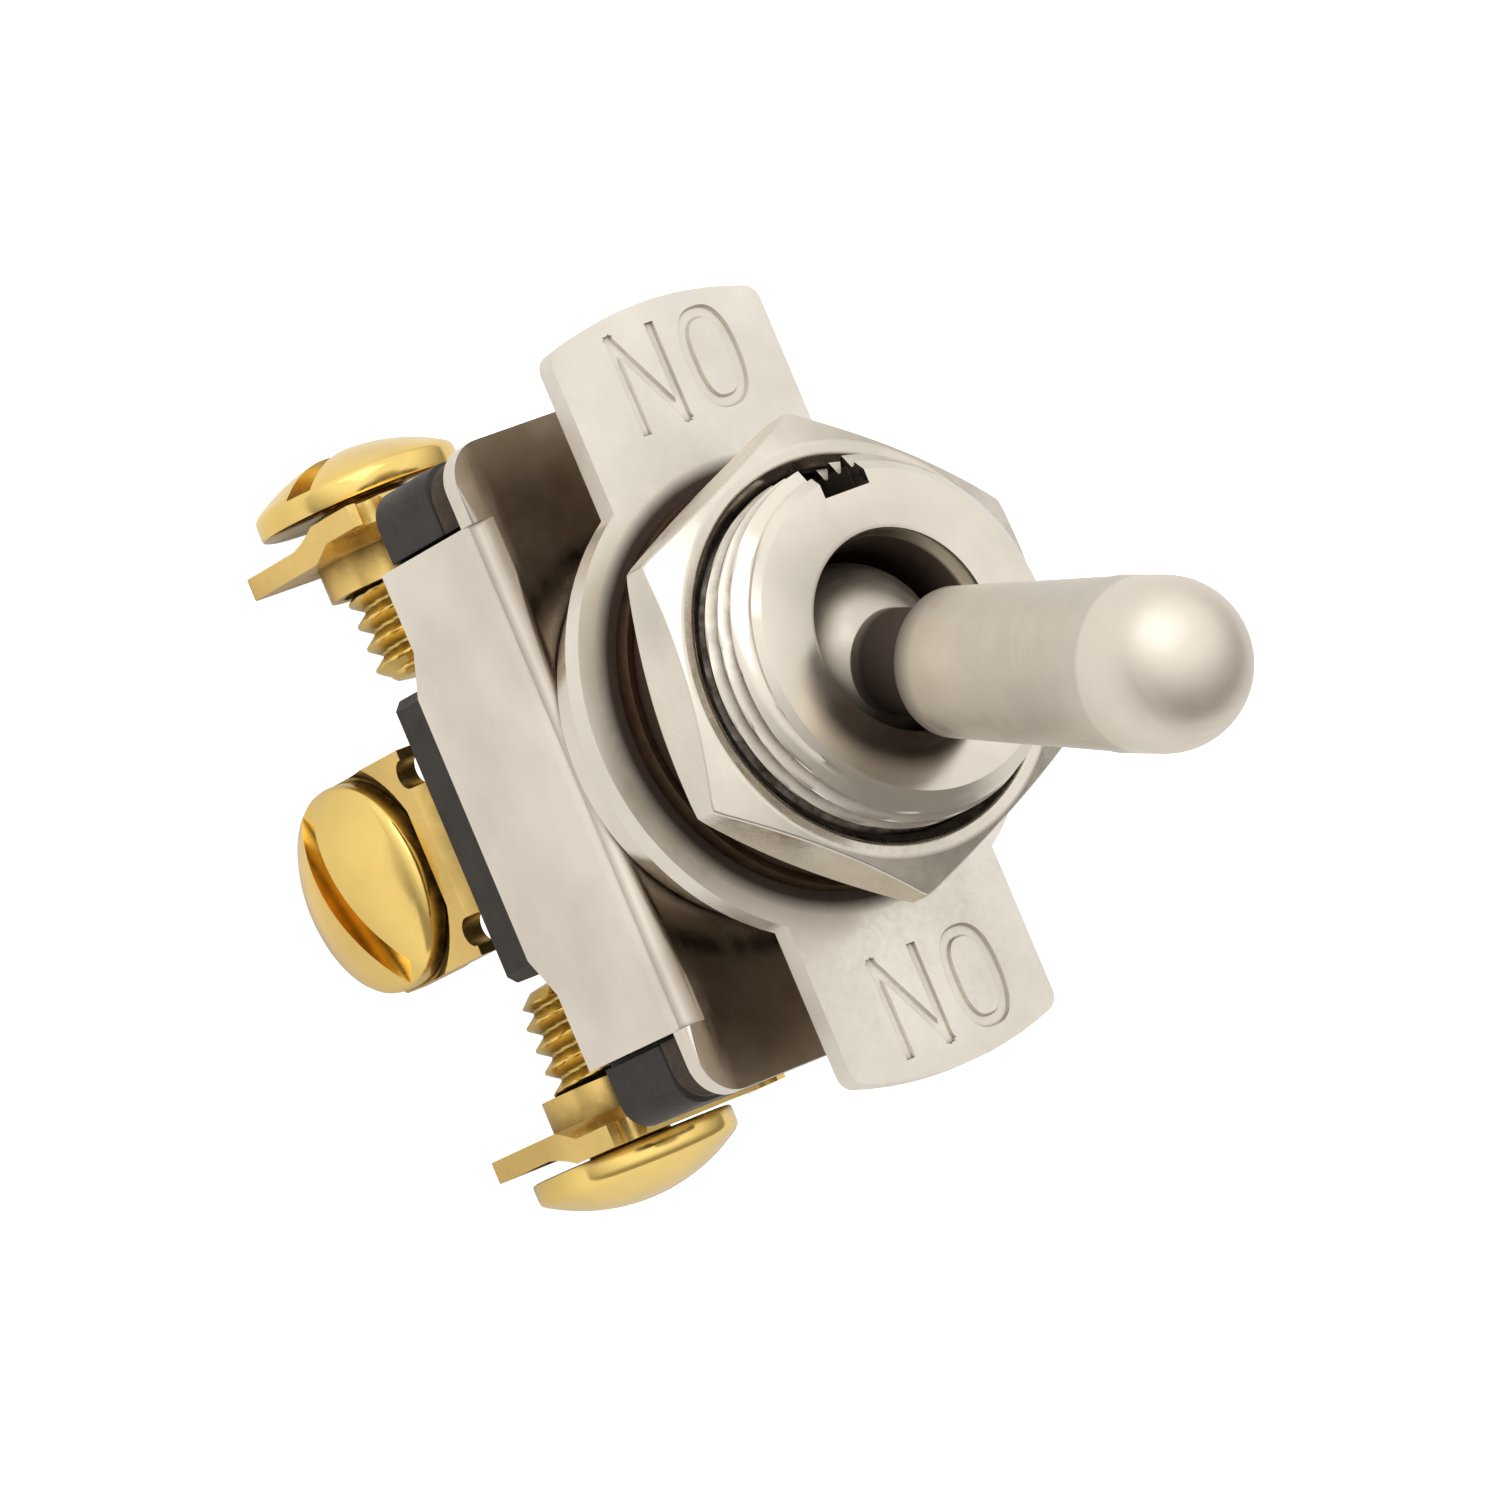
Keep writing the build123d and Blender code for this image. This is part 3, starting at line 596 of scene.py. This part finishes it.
def lever_shape(bm):
    """Bored arm, ball, neck and bat of the lever, upright with its pivot at zero."""
    ball_top = math.sqrt(BALL_R**2 - NECK_R**2)
    ball_low = math.sqrt(BALL_R**2 - ARM_R**2)
    low_angle = -math.degrees(math.atan2(ball_low, ARM_R))
    high_angle = math.degrees(math.atan2(ball_top, NECK_R))
    bore_end = BORE_DEPTH - ARM_END
    bat_round = (BAT_START_R - BAT_START_ROUND, BAT_START + BAT_START_ROUND)
    ring_in, ring_down = BAT_RING_STEP
    outline = [(0, bore_end), (BORE_R, bore_end)]
    outline += [(BORE_R, -ARM_END + BORE_BREAK), (BORE_R + BORE_BREAK, -ARM_END)]
    outline += [(ARM_R - ARM_BREAK, -ARM_END), (ARM_R, -ARM_END + ARM_BREAK), (ARM_R, -ball_low - ARM_FILLET)]
    outline += arc((0, 0), BALL_R, low_angle, high_angle, steps=40)
    outline += [(NECK_R, ball_top + BALL_FILLET), (NECK_R, BAT_START - NECK_FILLET)]
    outline += [(NECK_R + NECK_FILLET, BAT_START)]
    outline += arc(bat_round, BAT_START_ROUND, start=-90, end=-5, steps=5)
    outline += [(BAT_R - ring_in, BAT_RING - ring_down), (BAT_R, BAT_RING), (BAT_R, BAT_DOME)]
    outline += arc((0, BAT_DOME), BAT_R, start=4, end=90, steps=22)
    spun(bm, outline)


def screw_shape(bm):
    """Terminal screw along +Z with its head's underside at zero, without the slot."""
    start = SCREW_THREAD_START - SCREW_LENGTH
    end = SCREW_THREAD_END
    flat_r = HEAD_R - HEAD_BREAK
    step_r = HEAD_R - HEAD_BREAK_STEP
    outline = [(radius, z - SCREW_LENGTH) for radius, z in SCREW_TIP]
    outline += rise(SCREW_R, start, end, SCREW_THREAD_STEPS)
    outline += [*SCREW_UNDERCUT, (flat_r, 0.0), (step_r, HEAD_BREAK_STEP), (HEAD_R, HEAD_BREAK)]
    outline += [(HEAD_R, HEAD_RIM - HEAD_RIM_BREAK), (step_r, HEAD_RIM - HEAD_BREAK), (flat_r, HEAD_RIM)]
    crown = HEAD_HIGH - HEAD_RIM
    dome_r = (flat_r**2 + crown**2) / (2 * crown)
    foot = math.degrees(math.asin(flat_r / dome_r))
    outline += arc((0, HEAD_HIGH - dome_r), dome_r, start=90 - foot, end=90, steps=18)[1:]
    spun(bm, outline, SCREW_ROUND)
    deep = sizes()["screw_thread_depth"]

    def taper(z):
        return SCREW_TAPER_R + (z + SCREW_LENGTH) * SCREW_TAPER_SLOPE

    shares = dict(crest=SCREW_CREST_SHARE, root=SCREW_ROOT_SHARE)
    cut_thread(bm, SCREW_R, lambda z: deep, start, end, taper, **shares)


class Nodes:
    """A material's node tree, built with few words; its methods return output sockets."""

    def __init__(self, name):
        self.material = bpy.data.materials.new(name)
        self.material.use_nodes = True
        self.tree = self.material.node_tree
        self.shader = self.tree.nodes["Principled BSDF"]
        self.coords = self.tree.nodes.new("ShaderNodeTexCoord").outputs["Object"]

    def link(self, output, node, socket):
        """Leads an output to a socket of a node."""
        self.tree.links.new(output, node.inputs[socket])

    def feed(self, node, socket, value):
        """Gives a socket a number, a colour or an output."""
        if isinstance(value, bpy.types.NodeSocket):
            self.link(value, node, socket)
        elif isinstance(value, tuple):
            node.inputs[socket].default_value = (*value, 1)
        else:
            node.inputs[socket].default_value = value

    def set(self, socket, value):
        """Gives a socket of the shader a number, a colour or an output."""
        self.feed(self.shader, socket, value)

    def stretch(self, scale, tilt):
        """Object coordinates turned back by tilt degrees about Y and scaled along each axis."""
        node = self.tree.nodes.new("ShaderNodeMapping")
        node.inputs["Rotation"].default_value = (0, math.radians(-tilt), 0)
        node.inputs["Scale"].default_value = scale
        self.link(self.coords, node, "Vector")
        return node.outputs["Vector"]

    def noise(self, vector, cells, detail, rough):
        """Noise that lies mostly between 0.3 and 0.7, with that many cells to the metre."""
        node = self.tree.nodes.new("ShaderNodeTexNoise")
        node.inputs["Scale"].default_value = cells
        node.inputs["Detail"].default_value = detail
        node.inputs["Roughness"].default_value = rough
        self.link(vector, node, "Vector")
        return node.outputs["Fac"]

    def spread(self, value, low, high, to_low=0.0, to_high=1.0):
        """A value between low and high spread over another range, and held to it."""
        node = self.tree.nodes.new("ShaderNodeMapRange")
        node.inputs["From Min"].default_value = low
        node.inputs["From Max"].default_value = high
        node.inputs["To Min"].default_value = to_low
        node.inputs["To Max"].default_value = to_high
        self.link(value, node, "Value")
        return node.outputs["Result"]

    def hollows(self, reach):
        """1 deep in corners and grooves and 0 in the open, within reach in mm; taken from ambient occlusion,
        so what it darkens is painted shade.
        """
        node = self.tree.nodes.new("ShaderNodeAmbientOcclusion")
        node.samples = 12
        node.inputs["Distance"].default_value = reach * MM
        return self.spread(node.outputs["AO"], low=0.84, high=0.40)

    def inside(self, full, none):
        """1 nearer to the switch's axis than full, 0 beyond none, both in mm."""
        flat = self.tree.nodes.new("ShaderNodeVectorMath")
        flat.operation = "MULTIPLY"
        flat.inputs[1].default_value = (1, 1, 0)
        self.link(self.coords, flat, 0)
        radius = self.tree.nodes.new("ShaderNodeVectorMath")
        radius.operation = "LENGTH"
        self.link(flat.outputs[0], radius, 0)
        return self.spread(radius.outputs["Value"], low=none * MM, high=full * MM)

    def below(self, full, none, tilt):
        """1 lower than full and 0 above none, in mm from the pivot along an axis tilted about Y."""
        axis = Vector((math.sin(math.radians(tilt)), 0, math.cos(math.radians(tilt))))
        along = self.tree.nodes.new("ShaderNodeVectorMath")
        along.operation = "DOT_PRODUCT"
        along.inputs[1].default_value = axis
        self.link(self.coords, along, 0)
        pivot = place(0, 0, PIVOT_Z).dot(axis)
        return self.spread(along.outputs["Value"], low=pivot + none * MM, high=pivot + full * MM)

    def facing_up(self):
        """1 on faces that look up the switch's axis, 0 on its sides."""
        split = self.tree.nodes.new("ShaderNodeSeparateXYZ")
        self.link(self.coords.node.outputs["Normal"], split, "Vector")
        return self.spread(split.outputs["Z"], low=0.75, high=0.98)

    def mix(self, share, first, second):
        """The first colour where the share is 0 and the second where it is 1."""
        node = self.tree.nodes.new("ShaderNodeMix")
        node.data_type = "RGBA"
        self.feed(node, 0, share)
        self.feed(node, MIX_FIRST, first)
        self.feed(node, MIX_SECOND, second)
        return node.outputs[MIX_RESULT]

    def math(self, operation, first, second):
        """A sum, product or the like of two numbers or outputs."""
        node = self.tree.nodes.new("ShaderNodeMath")
        node.operation = operation
        self.feed(node, 0, first)
        self.feed(node, 1, second)
        return node.outputs[0]

    def without(self, value):
        """1 less the value."""
        return self.math("SUBTRACT", 1.0, value)

    def bump(self, height, strength, distance):
        """A normal that rises with height, distance in mm."""
        node = self.tree.nodes.new("ShaderNodeBump")
        node.inputs["Strength"].default_value = strength
        node.inputs["Distance"].default_value = distance * MM
        self.link(height, node, "Height")
        return node.outputs["Normal"]


def shade(color, share):
    """A colour at that share of its strength."""
    return tuple(part * share for part in color)


def metal(
    name,
    color,
    rough,
    dull=0.86,
    grain=2400,
    brushed=EVEN,
    tilt=0,
    bump=0.03,
    reach=0.8,
    stain=None,
    soil_and_shade=None,
    lightening=None,
):
    """A worked metal: uneven tone, fine grain, smudges in the gloss, and grime and painted shade in the
    hollows.

    Its roughness runs between the two numbers of rough, and dull is the share of its colour that
    its darker patches keep. The grain is in cells to the metre, brushed as told along an axis that
    is tilted about Y. Grime and painted shade gather in hollows within reach mm. A tarnish with a
    painted dark reflection, given as a colour, lies on faces that look up, a further mask of grime
    and painted shade can be added as a function of the nodes, and another function is 1 where the
    colour is lifted.
    """
    n = Nodes(name)
    n.set("Metallic", 1.0)
    patches = n.spread(n.noise(n.coords, TONE_CELLS, detail=4, rough=0.5), low=0.35, high=0.65)
    tone = n.mix(patches, color, shade(color, dull))
    # The up-facing faces are darkened: tarnish, and a painted reflection of the shade under the legend plate
    if stain:
        cloud = n.noise(n.coords, TARNISH_AND_REFLECTION_CELLS, detail=5, rough=0.6)
        blotches = n.spread(cloud, low=0.3, high=0.7, to_low=0.75)
        tone = n.mix(n.math("MULTIPLY", n.facing_up(), blotches), tone, stain)
    if lightening:
        tone = n.mix(lightening(n), tone, shade(color, DOME_LIGHTENING))
    # Painted shade: ambient occlusion in the hollows, broken up by noise, mixes the colour towards the grime
    # colour, and stands for real grime too
    broken = n.spread(n.noise(n.coords, DIRT_AND_SHADE_CELLS, detail=5, rough=0.7), low=0.3, high=0.7, to_low=0.6)
    dirt_and_shade = n.math("MULTIPLY", n.hollows(reach), broken)
    if soil_and_shade:
        dirt_and_shade = n.math("MAXIMUM", dirt_and_shade, soil_and_shade(n))
    n.set("Base Color", n.mix(dirt_and_shade, tone, finishes()["grime"]))
    worked = n.noise(n.stretch(brushed, tilt), grain, detail=3, rough=0.6)
    smudges = n.noise(n.coords, SMUDGE_CELLS, detail=4, rough=0.6)
    polish = n.spread(n.math("ADD", worked, smudges), 0.75, 1.25, *rough)
    n.set("Roughness", n.math("ADD", polish, n.math("MULTIPLY", dirt_and_shade, DIRT_AND_SHADE_DULLING)))
    n.set("Normal", n.bump(worked, bump, distance=0.01))
    return n.material


def moulded(name, color, rough, grain, depth, contrast):
    """A dull moulded or pressed material: mottled, with a fine uneven face and painted shade in its corners.
    """
    n = Nodes(name)
    n.set("Specular IOR Level", 0.3)
    patches = n.spread(n.noise(n.coords, grain * 0.3, detail=5, rough=0.65), low=0.35, high=0.65)
    tone = n.mix(patches, shade(color, 1 - contrast), shade(color, 1 + contrast))
    # Painted shade: ambient occlusion darkens the corners and hollows to 0.3 of the colour
    n.set("Base Color", n.mix(n.hollows(reach=0.8), tone, shade(color, 0.3)))
    face = n.noise(n.coords, grain, detail=6, rough=0.7)
    n.set("Roughness", n.spread(face, 0.3, 0.7, *rough))
    n.set("Normal", n.bump(face, strength=0.6, distance=depth))
    return n.material


def thread_soil(n):
    """Grime and painted shade between the bushing's threads and down its mouth."""
    walls = n.math("MULTIPLY", n.without(n.facing_up()), n.inside(*THREAD_GRIME_AND_SHADE_RADII))
    below_chamfer = n.below(*THREAD_GRIME_AND_SHADE_TOP, tilt=0)
    return n.math("MULTIPLY", n.math("MULTIPLY", walls, below_chamfer), THREAD_GRIME_AND_SHADE)


def neck_soil(n):
    """Grime and painted shade on the lever's neck, and a little on its ball."""
    ball = n.below(*BALL_GRIME_AND_SHADE_TOP, LEVER_TILT)
    neck = n.math("SUBTRACT", n.below(*NECK_GRIME_AND_SHADE_TOP, LEVER_TILT), ball)
    return n.math("MAXIMUM", n.math("MULTIPLY", neck, NECK_GRIME_AND_SHADE), n.math("MULTIPLY", ball, BALL_GRIME_AND_SHADE))


def foot_soil(n):
    """Painted shade and grime on the nut's round foot, under its hexagon."""
    return n.math("MULTIPLY", n.below(*FOOT_SHADE_AND_GRIME_TOP, tilt=0), FOOT_SHADE_AND_GRIME)


def disc_soil(n):
    """Grime and painted shade on the legend plate, round the nut's foot."""
    return n.math("MULTIPLY", n.inside(*DISC_GRIME_AND_SHADE_RADII), DISC_GRIME_AND_SHADE)


def dome_rub(n):
    """Paler metal on the lever's dome."""
    return n.without(n.below(*DOME_LIGHTENING_START, LEVER_TILT))


def frame_steel(name, look):
    """Bright plate with a darker top: tarnish, and a painted reflection of the shaded underside of the legend
    plate.
    """
    bright = look["frame_steel"]
    stain = look["stain"]
    return metal(name, bright, rough=(0.10, 0.24), dull=0.84, grain=2600, brushed=BRUSHED_X, stain=stain)


def bushing_nickel(name, look):
    """Bright turned plating with grime and painted shade in the thread and mouth."""
    nickel = look["bushing_nickel"]
    return metal(name, nickel, rough=(0.13, 0.26), brushed=TURNED, reach=0.9, soil_and_shade=thread_soil)


def nut_nickel(name, look):
    """Plating dulled in patches, with painted shade and grime on its round foot."""
    return metal(name, look["nut_nickel"], rough=(0.16, 0.34), dull=0.80, reach=0.6, soil_and_shade=foot_soil)


def lever_nickel(name, look):
    """Satin turned plating, with grime and painted shade on its neck and a lighter dome."""
    return metal(
        name,
        look["lever_nickel"],
        rough=(0.36, 0.50),
        dull=0.88,
        grain=3600,
        brushed=TURNED,
        tilt=LEVER_TILT,
        bump=0.12,
        reach=0.7,
        soil_and_shade=neck_soil,
        lightening=dome_rub,
    )


def legend_metal(name, look):
    """Pale etched plate, with grime and painted shade in its letters and round the nut."""
    pale = look["legend_metal"]
    rough = (0.34, 0.50)
    return metal(name, pale, rough, dull=0.88, grain=5200, bump=0.12, reach=0.3, soil_and_shade=disc_soil)


def washer_steel(name, look):
    """Dull soiled steel, made very dark as painted shade under the nut."""
    return metal(name, look["washer_steel"], rough=(0.30, 0.50), reach=1.2)


def pin_steel(name, look):
    """Drawn bare steel."""
    return metal(name, look["bare_steel"], rough=(0.20, 0.32))


def spring_steel(name, look):
    """Spring wire."""
    return metal(name, look["bare_steel"], rough=(0.25, 0.38), dull=0.92)


def rocker_copper(name, look):
    """Pressed copper."""
    return metal(name, look["copper"], rough=(0.25, 0.40), dull=0.80)


def contact_silver(name, look):
    """Dull silver."""
    return metal(name, look["silver"], rough=(0.22, 0.38), dull=0.92)


def terminal_brass(name, look):
    """Pressed brass strip, with grime and painted shade in its folds."""
    return metal(name, look["strip_brass"], rough=(0.16, 0.32), dull=0.78, grain=2200, reach=1.8)


def screw_brass(name, look):
    """Bright brass."""
    return metal(name, look["screw_brass"], rough=(0.09, 0.22), dull=0.82, grain=1800)


def base_moulding(name, look):
    """Black phenolic."""
    return moulded(name, look["moulding"], rough=(0.42, 0.58), grain=1600, depth=0.02, contrast=0.25)


def insulating_card(name, look):
    """Brown vulcanised fibre."""
    return moulded(name, look["card"], rough=(0.60, 0.85), grain=1400, depth=0.10, contrast=0.55)


def plunger_nylon(name, look):
    """Natural nylon."""
    return moulded(name, look["nylon"], rough=(0.35, 0.45), grain=1600, depth=0.01, contrast=0.05)


# One function for each material slot of the record, under the slot's name
FINISHES = (
    frame_steel,
    bushing_nickel,
    nut_nickel,
    lever_nickel,
    legend_metal,
    washer_steel,
    pin_steel,
    spring_steel,
    rocker_copper,
    contact_silver,
    terminal_brass,
    screw_brass,
    base_moulding,
    insulating_card,
    plunger_nylon,
)


def finish(slot):
    """The material of a slot, made when first asked for."""
    name = slot + "_finish"
    if name not in bpy.data.materials:
        make = next(maker for maker in FINISHES if maker.__name__ == slot)
        make(name, finishes())
    return bpy.data.materials[name]


def frame_folds(bm):
    """The outer edges along X where the frame's top turns down into its walls."""
    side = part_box("frame")[1].y / MM
    folds = []
    for edge in bm.edges:
        first, last = (vert.co / MM for vert in edge.verts)
        at_fold = abs(abs(first.y) - side) < IN_LINE and abs(first.z + ORIGIN_UP) < IN_LINE
        if at_fold and abs(last.y - first.y) < IN_LINE and abs(last.z - first.z) < IN_LINE:
            folds.append(edge)
    return folds


def round_folds(body, width):
    """Rounds the frame's two long folds, width in mm."""
    bm = bmesh.new()
    bm.from_mesh(body.data)
    bmesh.ops.bevel(
        bm, geom=frame_folds(bm), offset=width * MM, affect="EDGES", segments=4, profile=0.5, material=-1
    )
    bm.to_mesh(body.data)
    bm.free()
    smooth(body.data, sharp=30)


class SWITCH_OT_housing(bpy.types.Operator):
    """Frame with its folded walls, fibre card and moulded base"""

    bl_idname = "switch.housing"
    bl_label = "Housing"

    def execute(self, context):
        size = sizes()
        body = merged_copy("frame")
        round_folds(body, size["frame_bend"])
        soften(body, size["sheet_edge"])
        stand_for(body, "frame")
        base = merged_copy("base")
        soften(base, size["moulding_edge"], segments=3)
        stand_for(base, "base")
        dress("insulator")
        return {"FINISHED"}


class SWITCH_OT_bushing(bpy.types.Operator):
    """Threaded bushing with its keyway and cross pin hole"""

    bl_idname = "switch.bushing"
    bl_label = "Bushing"

    def execute(self, context):
        body = shaped("bushing_body", bushing_shape, sharp=28)
        low = (-THREAD_R - 1, -KEYWAY_HALF_WIDTH, FLANGE_TOP + TOUCH)
        high = (-KEYWAY_FLOOR, KEYWAY_HALF_WIDTH, THREAD_TOP + 1)
        keyway = shaped("keyway", lambda bm: block(bm, low, high))
        at_pivot = Matrix.Translation((0, 0, PIVOT_Z))
        hole = shaped("pin_hole", lambda bm: cross_hole(bm, PIN_R + PIN_HOLE_CLEAR), at_pivot)
        cut_away(body, [keyway, hole], sharp=28)
        stand_for(body, "bushing")
        return {"FINISHED"}


class SWITCH_OT_legend(bpy.types.Operator):
    """Legend plate with the word ON cut into both tabs"""

    bl_idname = "switch.legend"
    bl_label = "Legend plate"

    def execute(self, context):
        body = merged_copy("legend_plate")
        words = [cutter for middle in TAB_MIDDLES for cutter in word_cutters(middle)]
        cut_away(body, words, sharp=30)
        soften(body, sizes()["sheet_edge"], angle=60)
        stand_for(body, "legend_plate")
        return {"FINISHED"}


class SWITCH_OT_nut(bpy.types.Operator):
    """Hexagon nut over its lock washer"""

    bl_idname = "switch.nut"
    bl_label = "Nut and washer"

    def execute(self, context):
        turn = Matrix.Rotation(math.radians(NUT_TURN), 4, "Z")
        body = shaped("hex_nut_body", nut_shape, turn, sharp=25)
        soften(body, sizes()["nut_edge"], segments=3, angle=24)
        stand_for(body, "hex_nut")
        dress("lock_washer")
        return {"FINISHED"}


class SWITCH_OT_lever(bpy.types.Operator):
    """Bat lever on its cross pin"""

    bl_idname = "switch.lever"
    bl_label = "Lever"

    def execute(self, context):
        body = shaped("lever_body", lever_shape, lever_turn(), sharp=32)
        hole = shaped("cross_hole", lambda bm: cross_hole(bm, PIN_R + LEVER_HOLE_CLEAR), lever_turn())
        cut_away(body, [hole], sharp=32)
        stand_for(body, "lever")
        dress("lever_pin")
        return {"FINISHED"}


class SWITCH_OT_mechanism(bpy.types.Operator):
    """Plunger, spring, rocker and contacts inside the base"""

    bl_idname = "switch.mechanism"
    bl_label = "Mechanism"

    def execute(self, context):
        dress("plunger", "plunger_spring", "rocker", "fulcrum")
        for end in ("minus_x", "plus_x"):
            dress("moving_contact_" + end, "fixed_contact_" + end)
        return {"FINISHED"}


class SWITCH_OT_terminals(bpy.types.Operator):
    """Three folded brass terminals"""

    bl_idname = "switch.terminals"
    bl_label = "Terminals"

    def execute(self, context):
        for node in ("terminal_minus_x", "terminal_plus_x", "terminal_centre"):
            body = merged_copy(node)
            soften(body, sizes()["strip_bend"], segments=3, angle=20)
            stand_for(body, node)
        return {"FINISHED"}


class SWITCH_OT_screws(bpy.types.Operator):
    """Three slotted terminal screws"""

    bl_idname = "switch.screws"
    bl_label = "Terminal screws"

    def execute(self, context):
        low = (-SLOT_HALF_LENGTH, -SLOT_HALF_WIDTH, HEAD_HIGH - SLOT_DEPTH)
        high = (SLOT_HALF_LENGTH, SLOT_HALF_WIDTH, HEAD_HIGH + 1)
        lying = Matrix.Rotation(math.radians(90), 4, "Y")
        for node, (reach, way, slot_turn) in SCREWS.items():
            facing = Matrix.Rotation(math.radians(way), 4, "Z")
            seat = facing @ Matrix.Translation((reach, 0, SCREW_Z)) @ lying
            body = shaped(node + "_body", screw_shape, seat, sharp=30)
            turn = seat @ Matrix.Rotation(math.radians(slot_turn), 4, "Z")
            slot = shaped("slot", lambda bm: block(bm, low, high), turn)
            cut_away(body, [slot], sharp=30)
            stand_for(body, node)
        return {"FINISHED"}


class SWITCH_OT_stage(bpy.types.Operator):
    """Floor, soft surroundings, lamp and camera"""

    bl_idname = "switch.stage"
    bl_label = "Stage"

    def execute(self, context):
        self.floor()
        self.surroundings(context)
        self.lamp(context)
        self.camera(context)
        return {"FINISHED"}

    def floor(self):
        """A matt white floor that looks white but throws little light of its own."""
        bm = bmesh.new()
        bmesh.ops.create_grid(bm, x_segments=1, y_segments=1, size=FLOOR_HALF_SIZE)
        bmesh.ops.translate(bm, vec=(0, 0, CAD_BOX[0].z - FLOOR_DROP * MM), verts=bm.verts)
        floor = to_object(bm, "floor", sharp=30)
        n = Nodes("floor_white")
        n.set("Roughness", 1.0)
        n.set("Base Color", (0.8, 0.8, 0.8))
        n.set("Emission Color", (1.0, 1.0, 1.0))
        path = n.tree.nodes.new("ShaderNodeLightPath")
        mirrored = n.math("MAXIMUM", path.outputs["Is Glossy Ray"], path.outputs["Is Transmission Ray"])
        seen = n.math("MULTIPLY", path.outputs["Is Camera Ray"], FLOOR_SEEN)
        n.set("Emission Strength", n.math("ADD", seen, n.math("MULTIPLY", mirrored, FLOOR_MIRRORED)))
        floor.data.materials.append(n.material)

    def surroundings(self, context):
        """Soft pale light, darker low down on the +X and +Y side, behind plain white."""
        world = bpy.data.worlds.new("studio")
        context.scene.world = world
        world.use_nodes = True
        tree = world.node_tree
        coords = tree.nodes.new("ShaderNodeTexCoord")
        dot = tree.nodes.new("ShaderNodeVectorMath")
        dot.operation = "DOT_PRODUCT"
        dot.inputs[1].default_value = Vector(SKY_WAY).normalized()
        tree.links.new(coords.outputs["Generated"], dot.inputs[0])
        ramp = tree.nodes.new("ShaderNodeValToRGB")
        dark, pale = ramp.color_ramp.elements
        dark.position = 0.0
        dark.color = SKY_DARK
        pale.position = SKY_PALE_FROM
        pale.color = SKY_PALE
        tree.links.new(dot.outputs["Value"], ramp.inputs["Fac"])
        path = tree.nodes.new("ShaderNodeLightPath")
        mix = tree.nodes.new("ShaderNodeMix")
        mix.data_type = "RGBA"
        mix.inputs[MIX_SECOND].default_value = (1, 1, 1, 1)
        tree.links.new(path.outputs["Is Camera Ray"], mix.inputs[0])
        tree.links.new(ramp.outputs["Color"], mix.inputs[MIX_FIRST])
        background = tree.nodes["Background"]
        background.inputs["Strength"].default_value = SKY_STRENGTH
        tree.links.new(mix.outputs[MIX_RESULT], background.inputs["Color"])

    def lamp(self, context):
        """A soft square lamp, aimed at the switch."""
        data = bpy.data.lights.new("key", "AREA")
        data.size = LAMP_SIZE * MM
        data.energy = LAMP_POWER
        lamp = bpy.data.objects.new("key", data)
        context.scene.collection.objects.link(lamp)
        lamp.location = place(*LAMP_AT)
        lamp.rotation_euler = (place(0, 0, 0) - lamp.location).to_track_quat("-Z", "Y").to_euler()

    def camera(self, context):
        """The photograph's view."""
        data = bpy.data.cameras.new("camera")
        data.lens = CAMERA_LENS
        data.sensor_width = CAMERA_SENSOR
        data.clip_start, data.clip_end = CAMERA_CLIP
        camera = bpy.data.objects.new("camera", data)
        context.scene.collection.objects.link(camera)
        camera.location = place(*CAMERA_AT)
        look = (place(*CAMERA_TARGET) - camera.location).to_track_quat("-Z", "Y").to_matrix()
        roll = Matrix.Rotation(math.radians(CAMERA_ROLL), 3, "Z")
        camera.rotation_euler = (look @ roll).to_euler()
        context.scene.camera = camera
        context.scene.view_settings.view_transform = "Standard"


OPERATORS = (
    SWITCH_OT_housing,
    SWITCH_OT_bushing,
    SWITCH_OT_legend,
    SWITCH_OT_nut,
    SWITCH_OT_lever,
    SWITCH_OT_mechanism,
    SWITCH_OT_terminals,
    SWITCH_OT_screws,
    SWITCH_OT_stage,
)


class SWITCH_PT_sidebar(bpy.types.Panel):
    """Sizes, colours and steps of the switch"""

    bl_idname = "SWITCH_PT_sidebar"
    bl_label = "Toggle switch"
    bl_space_type = "VIEW_3D"
    bl_region_type = "UI"
    bl_category = "Switch"

    def draw(self, context):
        for group in (context.scene.switch_sizes, context.scene.switch_finishes):
            box = self.layout.box()
            for name in type(group).__annotations__:
                box.prop(group, name)
        for operator in OPERATORS:
            self.layout.operator(operator.bl_idname)


CLASSES = (SwitchSizes, SwitchFinishes, *OPERATORS, SWITCH_PT_sidebar)


def register():
    for cls in CLASSES:
        bpy.utils.register_class(cls)
    bpy.types.Scene.switch_sizes = bpy.props.PointerProperty(type=SwitchSizes)
    bpy.types.Scene.switch_finishes = bpy.props.PointerProperty(type=SwitchFinishes)


def unregister():
    del bpy.types.Scene.switch_finishes
    del bpy.types.Scene.switch_sizes
    for cls in reversed(CLASSES):
        bpy.utils.unregister_class(cls)


def main():
    register()
    bpy.ops.switch.housing()
    bpy.ops.switch.bushing()
    bpy.ops.switch.legend()
    bpy.ops.switch.nut()
    bpy.ops.switch.lever()
    bpy.ops.switch.mechanism()
    bpy.ops.switch.terminals()
    bpy.ops.switch.screws()
    bpy.ops.switch.stage()


if __name__ == "__main__":
    main()
